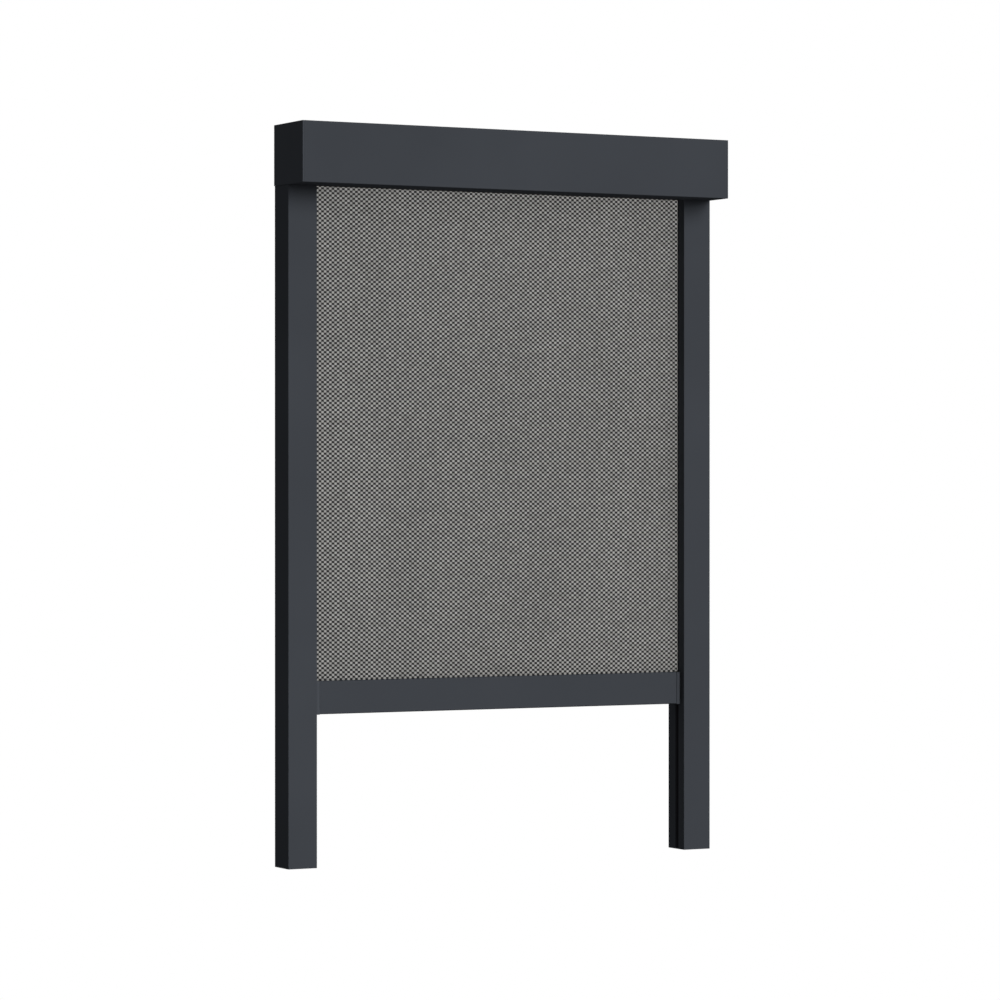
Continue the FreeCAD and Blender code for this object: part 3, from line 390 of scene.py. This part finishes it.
def painted_screws(name="painted_screws"):
    """Screw heads in the coat's grey, a little smoother than the coat itself."""
    mat, tree, shader = shader_of(name, 0.45, specular=0.0)
    paint(tree, shader, SCREW_PAINT, in_range(tree, noise_of(tree, cells=300.0), 0.9, 1.1))
    bump_of(tree, shader, noise_of(tree, cells=2500.0), distance=0.00003)
    return mat


finishes = {
    "anthracite_coat": powder_coat(),
    "coated_plastic": moulded_plastic(),
    "coated_screws": painted_screws(),
}
print("made", sorted(finishes))

# %% [markdown]
# ## Metal, black plastic and rubber
# Inside the headbox and the guides the pieces keep the finish that they were made with. Zinc
# plating is pale with a faint cloud. The tube is rolled from galvanised strip, whose crystals
# show as a spangle: flat cells, each with its own brightness. The motor's tube is brushed
# round its axis, the bar's weight has mill scale, and the extruded plastic has fine draw
# lines along its length.

# %% Other finishes
ZINC = (0.55, 0.55, 0.53)
GALVANISED = (0.50, 0.51, 0.52)
CASING = (0.60, 0.60, 0.60)
MILL_SCALE = (0.22, 0.22, 0.22)
BLACK = (0.023, 0.023, 0.027)
RUBBER = (0.012, 0.012, 0.012)
ROUND_THE_AXIS = (0.5, 40.0, 40.0)
ALONG_THE_BAR = (3.0, 1.0, 1.0)
DRAW_LINES = (1.0, 1.0, 60.0)


def zinc_steel(name="zinc_steel"):
    mat, tree, shader = shader_of(name, 0.38, metallic=1.0)
    cloud = noise_of(tree, cells=260.0, detail=3.0)
    paint(tree, shader, ZINC, in_range(tree, cloud, 0.85, 1.08))
    roughen(tree, shader, cloud, 0.32, 0.48)
    bump_of(tree, shader, noise_of(tree, cells=2500.0), distance=0.00003)
    return mat


def galvanised_tube(name="galvanised_tube"):
    """Each crystal has a random colour, whose red sets its tone and whose green its gloss."""
    mat, tree, shader = shader_of(name, 0.42, metallic=1.0)
    coords = add_node(tree, "ShaderNodeTexCoord")
    crystals = add_node(tree, "ShaderNodeTexVoronoi", feature="F1")
    crystals.inputs["Scale"].default_value = 170.0
    tree.links.new(coords.outputs["Object"], crystals.inputs["Vector"])
    own = add_node(tree, "ShaderNodeSeparateColor")
    tree.links.new(crystals.outputs["Color"], own.inputs["Color"])
    tone = in_range(tree, own.outputs["Red"], 0.8, 1.1, source=(0.0, 1.0))
    paint(tree, shader, GALVANISED, tone)
    roughen(tree, shader, own.outputs["Green"], 0.34, 0.52, source=(0.0, 1.0))
    bump_of(tree, shader, crystals.outputs["Distance"], distance=0.00004)
    return mat


def motor_casing(name="motor_casing"):
    mat, tree, shader = shader_of(name, 0.36, metallic=1.0)
    lines = noise_of(tree, cells=2600.0, detail=1.0, stretch=ROUND_THE_AXIS)
    paint(tree, shader, CASING, in_range(tree, lines, 0.88, 1.06))
    bump_of(tree, shader, lines, distance=0.00002)
    return mat


def raw_steel(name="raw_steel"):
    mat, tree, shader = shader_of(name, 0.55, metallic=1.0)
    scale = noise_of(tree, cells=120.0, detail=4.0, stretch=ALONG_THE_BAR)
    paint(tree, shader, MILL_SCALE, in_range(tree, scale, 0.6, 1.15))
    roughen(tree, shader, scale, 0.45, 0.7)
    bump_of(tree, shader, scale, distance=0.0001)
    return mat


def black_plastic(name="black_plastic"):
    mat, tree, shader = shader_of(name, 0.5, specular=0.0)
    lines = noise_of(tree, cells=1500.0, detail=1.0, stretch=DRAW_LINES)
    paint(tree, shader, BLACK, in_range(tree, lines, 0.85, 1.15))
    roughen(tree, shader, lines, 0.44, 0.58)
    bump_of(tree, shader, lines, distance=0.00003)
    return mat


def rubber(name="rubber"):
    """Rubber with a bloom, the pale cloud that comes out of it with age."""
    mat, tree, shader = shader_of(name, 0.8, specular=0.05)
    bloom = noise_of(tree, cells=60.0, detail=3.0)
    paint(tree, shader, RUBBER, in_range(tree, bloom, 0.8, 1.5))
    bump_of(tree, shader, noise_of(tree, cells=2200.0), distance=0.00005)
    return mat


finishes["zinc_steel"] = zinc_steel()
finishes["galvanised_tube"] = galvanised_tube()
finishes["motor_casing"] = motor_casing()
finishes["raw_steel"] = raw_steel()
finishes["black_plastic"] = black_plastic()
finishes["rubber"] = rubber()
print("finishes", len(finishes))

# %% [markdown]
# ## The screen's weave
# The cloth is a two-tone basket weave of coated threads: three pale threads run across, three
# dark ones run down, and each group goes over and under the other. From a step away that
# is a chequerboard of pale and dark spots, a little wider than they are high. The material
# works the weave out from the place in metres, so the spots keep their size when the screen
# is drawn out or wound up. On the back of the cloth the other thread of each crossing shows,
# so there pale and dark change places.
#
# In a cell, across and up run from 0 to 1. The threads that show are rounded: a sine over
# each third of the cell, and a sine over its length, because the group dives under its
# neighbours at both ends. Powers below 1 make the rounded tops broader. The lower a point of a
# thread lies, the darker it is painted: painted shade in the hollows between the threads.

# %% Weave material
cloth_low, cloth_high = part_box("screen_fabric")
CELLS_ACROSS = 149
CELL_WIDE = (cloth_high.x - cloth_low.x) / CELLS_ACROSS
CELL_HIGH = 0.0038
THREADS = 3                        # in a group
ACROSS_POWER = 0.6
ALONG_POWER = 0.5
PALE_THREAD = (0.408, 0.402, 0.388)
DARK_THREAD = (0.031, 0.031, 0.0315)
CELL_TONES = (0.86, 1.12)          # from one crossing to the next
SLOW_TONES = (0.96, 1.04)          # from one part of the cloth to another
# Painted shade: a thread darkens to about a third of its tone in the hollows between threads, and has its full
# tone from three quarters of its height up.
HOLLOW_SHADE_TONE = 0.35                    # between the threads
UNSHADED_HEIGHT = 0.75                 # height from which a thread has its full tone
WEAVE_DEPTH = 0.00025
BOX_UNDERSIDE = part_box("box_front_cover")[0].z
BOX_SHADE = 0.03                   # share of the light on the cloth inside the headbox
SHADE_EDGE = 0.0005


def mix_numbers(tree, factor, a, b):
    """a where factor is 0, and b where it is 1."""
    return math_node(tree, "MULTIPLY_ADD", factor, math_node(tree, "SUBTRACT", b, a), a)


def thread_height(tree, along, across):
    """Height of a group of threads in its cell: an arch along it times a wave across it."""
    arch = math_node(tree, "SINE", math_node(tree, "MULTIPLY", along, math.pi))
    wave = math_node(tree, "SINE", math_node(tree, "MULTIPLY", across, math.pi * THREADS))
    tops = math_node(tree, "POWER", math_node(tree, "ABSOLUTE", wave), ACROSS_POWER)
    return math_node(tree, "MULTIPLY", math_node(tree, "POWER", arch, ALONG_POWER), tops)


def own_tone(tree, column, row):
    """A tone that is the same all over one cell, and another in the next."""
    cell = add_node(tree, "ShaderNodeCombineXYZ")
    tree.links.new(column, cell.inputs["X"])
    tree.links.new(row, cell.inputs["Y"])
    chance = add_node(tree, "ShaderNodeTexWhiteNoise", noise_dimensions="2D")
    tree.links.new(cell.outputs["Vector"], chance.inputs["Vector"])
    return in_range(tree, chance.outputs["Value"], *CELL_TONES, source=(0.0, 1.0))


def thread_colour(tree, dark):
    """The pale thread's colour where dark is 0, and the dark one's where it is 1."""
    mix = add_node(tree, "ShaderNodeMix", data_type="RGBA")
    colours = [socket for socket in mix.inputs if socket.type == "RGBA"]
    colours[0].default_value = (*PALE_THREAD, 1.0)
    colours[1].default_value = (*DARK_THREAD, 1.0)
    tree.links.new(dark, mix.inputs["Factor"])
    return next(socket for socket in mix.outputs if socket.type == "RGBA")


def weave(name, place):
    """The weave's material. place gives what runs across and up, in metres, what tells the
    back, and the share of light. Column plus row is even on cells of one thread and odd on
    those of the other."""
    mat, tree, shader = shader_of(name, 0.62, specular=0.06)
    x, z, back, share = place(tree)
    column = math_node(tree, "DIVIDE", x, CELL_WIDE)
    row = math_node(tree, "DIVIDE", z, CELL_HIGH)
    across, up = math_node(tree, "FRACT", column), math_node(tree, "FRACT", row)
    column, row = math_node(tree, "FLOOR", column), math_node(tree, "FLOOR", row)
    total = math_node(tree, "ADD", math_node(tree, "ADD", column, row), back)
    dark = math_node(tree, "WRAP", total, 2.0, 0.0)
    pale_height = thread_height(tree, across, up)
    dark_height = thread_height(tree, up, across)
    height = mix_numbers(tree, dark, pale_height, dark_height)
    patches = noise_of(tree, cells=7.0, stretch=(1.0, 1.0, 2.6))
    light = math_node(tree, "MULTIPLY", own_tone(tree, column, row),
                      in_range(tree, patches, *SLOW_TONES))
    # Painted shade in the weave's hollows: the lower a point of a thread lies, the darker it is.
    hollow_shade = in_range(tree, height, HOLLOW_SHADE_TONE, 1.0, source=(0.0, UNSHADED_HEIGHT))
    light = math_node(tree, "MULTIPLY", math_node(tree, "MULTIPLY", light, hollow_shade), share)
    paint(tree, shader, thread_colour(tree, dark), light)
    bump_of(tree, shader, height, distance=WEAVE_DEPTH)
    return mat


def place_on_screen(tree):
    """Across and down from the screen's upper left corner, 1 on its back, and the share of
    light, which falls to BOX_SHADE above the headbox's underside."""
    place = object_place(tree)
    geometry = add_node(tree, "ShaderNodeNewGeometry")
    facing = add_node(tree, "ShaderNodeSeparateXYZ")
    tree.links.new(geometry.outputs["True Normal"], facing.inputs[0])
    x = math_node(tree, "SUBTRACT", place["X"], cloth_low.x)
    z = math_node(tree, "SUBTRACT", place["Z"], cloth_high.z)
    back = math_node(tree, "GREATER_THAN", facing.outputs["Y"], 0.0)
    # Painted shade: above the headbox's underside the cloth keeps only a small share of its tone.
    share = in_range(tree, place["Z"], 1.0, BOX_SHADE,
                     source=(BOX_UNDERSIDE, BOX_UNDERSIDE + SHADE_EDGE))
    return x, z, back, share


def place_on_winding(tree):
    """The wound turns carry their own map: along the roller, and along the cloth."""
    uv = add_node(tree, "ShaderNodeUVMap", uv_map="cloth")
    split = add_node(tree, "ShaderNodeSeparateXYZ")
    tree.links.new(uv.outputs["UV"], split.inputs[0])
    return split.outputs["X"], split.outputs["Y"], 0.0, 1.0


screen_weave = weave("screen_weave", place_on_screen)
winding_weave = weave("winding_weave", place_on_winding)
print("cell", round(CELL_WIDE * 1000, 2), "by", round(CELL_HIGH * 1000, 2), "mm")

# %% [markdown]
# ## Sheets
# A sheet is a grid of points in its middle. Half its thickness to each side lies a copy of
# the grid, and a rim joins the two, so the sheet is closed. All of it is worked out as whole
# arrays. The volume that is printed has to be positive, which shows that the faces point
# outwards, and there have to be no open edges.

# %% Sheet helpers
def grid_faces(rows, columns, flip=False):
    """The quads between the points of a grid, numbered row by row."""
    i, j = np.meshgrid(np.arange(rows - 1), np.arange(columns - 1), indexing="ij")
    a = (i * columns + j).ravel()
    quads = np.stack([a, a + 1, a + columns + 1, a + columns], axis=1)
    return quads[:, ::-1] if flip else quads


def rim_faces(rows, columns, offset):
    """The quads that join the rims of two grids, the second of which starts at offset."""
    first = np.arange(columns)
    last = (rows - 1) * columns + first
    left = np.arange(rows) * columns
    right = left + columns - 1
    strips = [first, right, last[::-1], left[::-1]]
    loop = np.concatenate([s[:-1] for s in strips])
    after = np.roll(loop, -1)
    return np.stack([loop, loop + offset, after + offset, after], axis=1)


def sheet_arrays(middle, normal, thickness):
    """A grid of points pushed half the thickness to each side along the normal, and closed.
    The normal is on the side where columns and then rows go round anticlockwise."""
    rows, columns = middle.shape[:2]
    front = (middle + normal * thickness / 2).reshape(-1, 3)
    back = (middle - normal * thickness / 2).reshape(-1, 3)
    quads = np.concatenate([
        grid_faces(rows, columns),
        grid_faces(rows, columns, flip=True) + len(front),
        rim_faces(rows, columns, len(front)),
    ])
    return np.concatenate([front, back]), quads


def mesh_of(name, points, quads):
    """A smooth mesh object at the origin, from arrays of points and quads."""
    mesh = bpy.data.meshes.new(name)
    mesh.vertices.add(len(points))
    mesh.vertices.foreach_set("co", np.asarray(points, np.float32).ravel())
    mesh.loops.add(quads.size)
    mesh.loops.foreach_set("vertex_index", np.asarray(quads, np.int32).ravel())
    mesh.polygons.add(len(quads))
    mesh.polygons.foreach_set("loop_start", np.arange(0, quads.size, 4, dtype=np.int32))
    mesh.polygons.foreach_set("use_smooth", np.ones(len(quads), bool))
    mesh.update(calc_edges=True)
    mesh.validate()
    piece = bpy.data.objects.new(name, mesh)
    bpy.context.scene.collection.objects.link(piece)
    shape = bmesh.new()
    shape.from_mesh(mesh)
    loose = sum(not edge.is_contiguous for edge in shape.edges)
    print(name, "volume", round(shape.calc_volume(signed=True) * 1e6, 2), "cm3, open edges", loose)
    shape.free()
    return piece


print("sheet helpers ready")

# %% [markdown]
# ## The hanging screen
# The cloth is pulled flat between its zips and by the bar's weight. It could be one box, but
# its crossings stand out from it by a tenth of a millimetre, and a sheet that is held only at
# its rim is never quite flat. So it is a grid with one point at the middle of each cell, and
# the points step forward on pale cells and back on dark ones. It starts behind the roller.
# Between the bar's end caps its hem runs into the bar's groove, and beside them it ends just
# above the caps, in the guides.

# %% Hanging screen
bar_low, bar_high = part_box("bottom_bar")
SHEET = cloth_high.y - cloth_low.y
CLOTH_Y = (cloth_low.y + cloth_high.y) / 2
TO_THE_WALL = np.array([0.0, 1.0, 0.0])
IN_GROOVE = 0.005                  # the hem runs this far into the bar
RELIEF = 0.00010                   # of the crossings
WAVE = 0.0004                      # how far the cloth strays from its plane
LONG_WAVE = 31.0                   # radians to the metre, across
SHORT_WAVE = 57.0
SHORT_SHARE = 0.5
SLANT = 9.0                        # of the short wave, in radians to the metre of height
SWAY = 1.4                         # of the long wave, in radians
SWAY_WAVE = 5.0                    # radians to the metre of height
SIDE_FADE = 0.08                   # the waves die out over this distance from an edge
END_FADE = 0.10


def slow_wave(x, z):
    """A long wave across whose phase sways with the height, plus a shorter one on a slant."""
    long_wave = np.sin(x * LONG_WAVE + SWAY * np.sin(z * SWAY_WAVE))
    return long_wave + SHORT_SHARE * np.sin(x * SHORT_WAVE + z * SLANT)


def screen_points():
    """x and z step by one cell between the edges. y is the cloth's plane, plus relief with
    the sign of the cell, plus a slow wave that fades to nothing at every edge. The last row
    is the hem, lower where the bar takes it in."""
    rows = int((cloth_high.z - cloth_low.z) / CELL_HIGH)
    x = cloth_low.x + (np.arange(CELLS_ACROSS) + 0.5) * CELL_WIDE
    z = cloth_high.z - (np.arange(rows) + 0.5) * CELL_HIGH
    x = np.concatenate([[cloth_low.x], x, [cloth_high.x]])
    z = np.concatenate([[cloth_high.z], z, [cloth_low.z]])
    grid_z, grid_x = np.meshgrid(z, x, indexing="ij")
    in_bar = (x > bar_low.x) & (x < bar_high.x)
    grid_z[-1] = np.where(in_bar, bar_high.z - IN_GROOVE, cloth_low.z)
    i, j = np.meshgrid(np.arange(len(z)), np.arange(len(x)), indexing="ij")
    sign = np.where((i + j) % 2 == 0, 1.0, -1.0)
    from_side = np.minimum(grid_x - cloth_low.x, cloth_high.x - grid_x)
    from_end = np.minimum(cloth_high.z - grid_z, grid_z - cloth_low.z)
    fade = np.clip(from_side / SIDE_FADE, 0, 1) * np.clip(from_end / END_FADE, 0, 1)
    inner = (i > 0) & (i < len(z) - 1) & (j > 0) & (j < len(x) - 1)
    y = CLOTH_Y + sign * RELIEF * inner + WAVE * slow_wave(grid_x, grid_z) * fade
    return np.stack([grid_x, y, grid_z], axis=-1)


def make_screen():
    points = screen_points()
    screen = mesh_of("screen", *sheet_arrays(points, TO_THE_WALL, SHEET))
    screen.data.materials.append(screen_weave)
    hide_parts("screen_fabric")
    return screen, points


screen, screen_grid = make_screen()
print("screen grid", screen_grid.shape, "faces", len(screen.data.polygons))

# %% [markdown]
# ## Where the cloth would go with the bar
# On the real blind the roller takes the cloth up. A mesh has a fixed number of faces, so the
# cloth would have to lengthen and shorten between the frame and the bar instead. With the bar
# right up, 0.87 m of cloth has to lie in the 30 mm that are left, where it would fold over
# itself. The two ends of the blend lie a little above the cloth's top and below its hem, which
# would keep the folds inside the headbox and the bar, while the hem still lags by less than 3 mm.
# This cell sets the blend's ends and prints where the cloth would lie at each end of the bar's
# travel; it does not move the cloth.

# %% Blend of the cloth
ABOVE_TOP = 0.024
BELOW_HEM = 0.030
blend_top = (0.0, CLOTH_Y, cloth_high.z + ABOVE_TOP)
blend_foot = (0.0, CLOTH_Y, cloth_low.z - BELOW_HEM)
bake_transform(screen)


def height_at(z, travel):
    """z plus the travel times the blend's weight, 3 t squared less 2 t cubed."""
    t = np.clip((blend_top[2] - z) / (blend_top[2] - blend_foot[2]), 0, 1)
    return z + travel * t * t * (3 - 2 * t)


bar_travel = next(j["range_m"] for j in frame["joints"] if j["name"] == "bar_slide")
for travel in bar_travel:
    heights = height_at(screen_grid[..., 2], travel)
    print("bar at", round(travel, 3), "cloth from", round(heights.min(), 3),
          "to", round(heights.max(), 3), "bar's top", round(bar_high.z + travel, 3))

# %% [markdown]
# ## Light on the cloth
# A screen cloth is open, and light comes through it from behind. In the photograph that keeps
# it as bright right under the headbox and beside the right guide as in the open, while the
# guide's own front goes dark there. Glowing threads would give that too, but they would stay
# bright in any other light. So the cloth has a lamp of its own, a twin of the key light that
# only the cloth receives and only the cloth blocks, and the key light leaves the cloth out.
# That lamp would shine into the headbox too, so the weave's material paints the headbox's shade onto the cloth in
# there.

# %% Lamp of the cloth
def group_with(name, piece, state="INCLUDE"):
    """A group for a lamp's links, with one piece that it takes in or leaves out."""
    group = bpy.data.collections.new(name)
    group.objects.link(piece)
    group.collection_objects[0].light_linking.link_state = state
    return group


cloth_light.light_linking.receiver_collection = group_with("lit_cloth", screen)
cloth_light.light_linking.blocker_collection = group_with("blocking_cloth", screen)
key_light.light_linking.receiver_collection = group_with("unlit_cloth", screen, "EXCLUDE")
print("cloth lit by", cloth_light.name)

# %% [markdown]
# ## The zips
# A zip screen is held at its sides by half a zip: a woven band welded to the cloth, with a
# toothed bead that can't slip out of the guide's throat. The bead is a rounded bar whose
# section shrinks between its teeth. A point of it is the bead's centre plus a rounded
# rectangle, a power of cosine and sine, whose size follows a cosine along the length. The
# band is a narrow sheet from the cloth's edge to the bead's middle.

# %% Zips
TOOTH = 0.0025                     # from one tooth to the next
TOOTH_DEPTH = 0.10                 # share by which the section shrinks between teeth
RINGS_TO_A_TOOTH = 4
AROUND = 16                        # points on a ring
SQUARE_POWER = 0.5                 # 1 would give an ellipse
ZIP_BAND = 0.004                   # width between cloth and bead
BAND_ROWS = 60
ZIP_BLACK = (0.020, 0.020, 0.021)


def zip_points(bead_low, bead_high, top, foot):
    """Rings along the length: a rounded rectangle for the bead, smaller between the teeth."""
    count = int((top - foot) / TOOTH * RINGS_TO_A_TOOTH)
    z = np.linspace(top, foot, count + 1)
    turn = np.linspace(0, 2 * math.pi, AROUND, endpoint=False)
    c, s = np.cos(turn), np.sin(turn)
    ring_x = np.sign(c) * np.abs(c) ** SQUARE_POWER * (bead_high.x - bead_low.x) / 2
    ring_y = np.sign(s) * np.abs(s) ** SQUARE_POWER * (bead_high.y - bead_low.y) / 2
    size = 1 - TOOTH_DEPTH * (1 - np.cos(2 * math.pi * z / TOOTH)) / 2
    x = (bead_low.x + bead_high.x) / 2 + ring_x[None, :] * size[:, None]
    y = (bead_low.y + bead_high.y) / 2 + ring_y[None, :] * size[:, None]
    return np.stack([x, y, np.broadcast_to(z[:, None], x.shape)], axis=-1)


def tube_faces(rings, around):
    """Quads round a stack of closed rings that goes down, with a strip of quads over each
    end, facing outwards."""
    i, j = np.meshgrid(np.arange(rings - 1), np.arange(around), indexing="ij")
    a, b = (i * around + j).ravel(), (i * around + (j + 1) % around).ravel()
    side = np.stack([b, a, a + around, b + around], axis=1)
    k = np.arange(around // 2 - 1)
    lid = np.stack([k, k + 1, around - 2 - k, around - 1 - k], axis=1)
    return np.concatenate([side, lid, lid[:, ::-1] + (rings - 1) * around])


def band_points(inner, outer, top, foot):
    """Two columns of points, at the cloth's edge and at the bead's middle."""
    columns = np.sort([inner, outer])
    grid_z, grid_x = np.meshgrid(np.linspace(top, foot, BAND_ROWS), columns, indexing="ij")
    return np.stack([grid_x, np.full_like(grid_x, CLOTH_Y), grid_z], axis=-1)


def zip_cloth(name="zip_cloth"):
    """Black woven tape with fine ribs across it."""
    mat, tree, shader = shader_of(name, 0.7, specular=0.05)
    ribs = noise_of(tree, cells=2400.0, detail=1.0, stretch=(6.0, 6.0, 1.0))
    paint(tree, shader, ZIP_BLACK, in_range(tree, ribs, 0.7, 1.4))
    bump_of(tree, shader, ribs, distance=0.00008)
    return mat


finishes["zip_tape"] = zip_cloth()


def make_zip(side):
    name = "zip_tape_" + side
    tape_low, tape_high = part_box(name)
    bead_low, bead_high = tape_low.copy(), tape_high.copy()
    if side == "right":
        inner = cloth_high.x
        bead_low.x = inner + ZIP_BAND
    else:
        inner = cloth_low.x
        bead_high.x = inner - ZIP_BAND
    rings = zip_points(bead_low, bead_high, tape_high.z, cloth_low.z)
    middle = band_points(inner, (bead_low.x + bead_high.x) / 2, tape_high.z, cloth_low.z)
    bead, bead_quads = rings.reshape(-1, 3), tube_faces(*rings.shape[:2])
    band, band_quads = sheet_arrays(middle, TO_THE_WALL, SHEET)
    quads = np.concatenate([bead_quads, band_quads + len(bead)])
    piece = mesh_of("zip_" + side, np.concatenate([bead, band]), quads)
    piece.data.materials.append(finishes["zip_tape"])
    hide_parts(name)
    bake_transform(piece)
    print(piece.name, "teeth", len(rings) // RINGS_TO_A_TOOTH)


for side in ("left", "right"):
    make_zip(side)

# %% [markdown]
# ## The turns on the roller
# Three turns stay on the tube when the screen is down. In section they are a spiral: the
# radius grows by one cloth thickness each turn. The map along the cloth is the spiral's own
# length, so the weave keeps its scale round the roller.

# %% Wound turns
TURNS = 3
STEPS_TO_A_TURN = 96
WOUND_COLUMNS = 33
WOUND_SHARE = 0.9                  # of the cloth's thickness, so that the turns don't touch
OFF_THE_TUBE = 0.0001


def wound_spiral():
    """Angles and radii of the middle of the cloth: the radius grows evenly with the angle."""
    wound_low, wound_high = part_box("wound_fabric")
    tube_low, tube_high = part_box("roller_tube")
    half = SHEET * WOUND_SHARE / 2
    first = (tube_high.z - tube_low.z) / 2 + half + OFF_THE_TUBE
    last = (wound_high.z - wound_low.z) / 2 - half
    angle = np.linspace(0, 2 * math.pi * TURNS, STEPS_TO_A_TURN * TURNS + 1)
    return angle, first + (last - first) * angle / angle[-1]


def lay_map(piece, across, along):
    """Gives both sides of a sheet the same map, from what runs across and along it."""
    uv = np.stack([np.tile(across.ravel(), 2), np.tile(along.ravel(), 2)], axis=1)
    corner = np.zeros(len(piece.data.loops), np.int32)
    piece.data.loops.foreach_get("vertex_index", corner)
    layer = piece.data.uv_layers.new(name="cloth")
    layer.data.foreach_set("uv", uv[corner].astype(np.float32).ravel())


def make_winding():
    """A point is the roller's axis plus the radius times the angle's sine and cosine. The
    length of the cloth is the sum of the steps in angle, each times its mean radius."""
    low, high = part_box("wound_fabric")
    angle, radius = wound_spiral()
    x = np.linspace(low.x, high.x, WOUND_COLUMNS)
    grid_a, grid_x = np.meshgrid(angle, x, indexing="ij")
    out = np.stack([np.zeros_like(grid_a), np.sin(grid_a), np.cos(grid_a)], axis=-1)
    axis = np.array([0.0, (low.y + high.y) / 2, (low.z + high.z) / 2])
    middle = axis + out * radius[:, None, None]
    middle[..., 0] = grid_x
    piece = mesh_of("wound_turns", *sheet_arrays(middle, out, SHEET * WOUND_SHARE))
    length = np.concatenate([[0], np.cumsum(np.diff(angle) * (radius[1:] + radius[:-1]) / 2)])
    lay_map(piece, grid_x - low.x, np.broadcast_to(length[:, None], grid_a.shape))
    piece.data.materials.append(winding_weave)
    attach(piece, "roller")
    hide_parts("wound_fabric")
    return float(length[-1])


wound_length = make_winding()
print("wound length", round(wound_length, 3), "m in", TURNS, "turns")

# %% [markdown]
# ## Dressing the rigid pieces
# Each rigid piece keeps its mesh and gets the finish that the record names for it. End caps
# are moulded in the coat's grey too, but they are made a little lighter than what lies between
# them. On the bar's caps the lighter tone is partly a paler plastic and partly painted light, a
# painted highlight for their round edges. The bar's caps also stand a little proud: their round
# edge shows as a dark line at the right end, where it turns away from the light, and not at the
# left. So these pieces get batches of their own.

# %% Finishes on the rigid pieces
# The bar caps' tone is partly a paler plastic and partly a painted highlight for their round edges.
BAR_CAPS_TONE = 1.25
BOX_CAPS_TONE = 1.12
finish_of = {part["node"]: finishes[part["material_slot"]] for part in record["subparts"]
             if part["material_slot"] in finishes}
pale_plastic_and_highlight = moulded_plastic("pale_plastic_and_highlight", BAR_CAPS_TONE, joint=bar_high.x)
box_cap_plastic = moulded_plastic("box_cap_plastic", BOX_CAPS_TONE)
for side in ("left", "right"):
    finish_of["bar_end_cap_" + side] = pale_plastic_and_highlight
    finish_of["box_end_cap_" + side] = box_cap_plastic
finish_of["bottom_bar"] = powder_coat("bar_coat", joint=bar_high.x)
shown = [name for name, piece in nodes.items() if not piece.hide_render]
for name in shown:
    nodes[name].data.materials.clear()
    nodes[name].data.materials.append(finish_of[name])
print("dressed", len(shown), "of", len(nodes), "nodes")
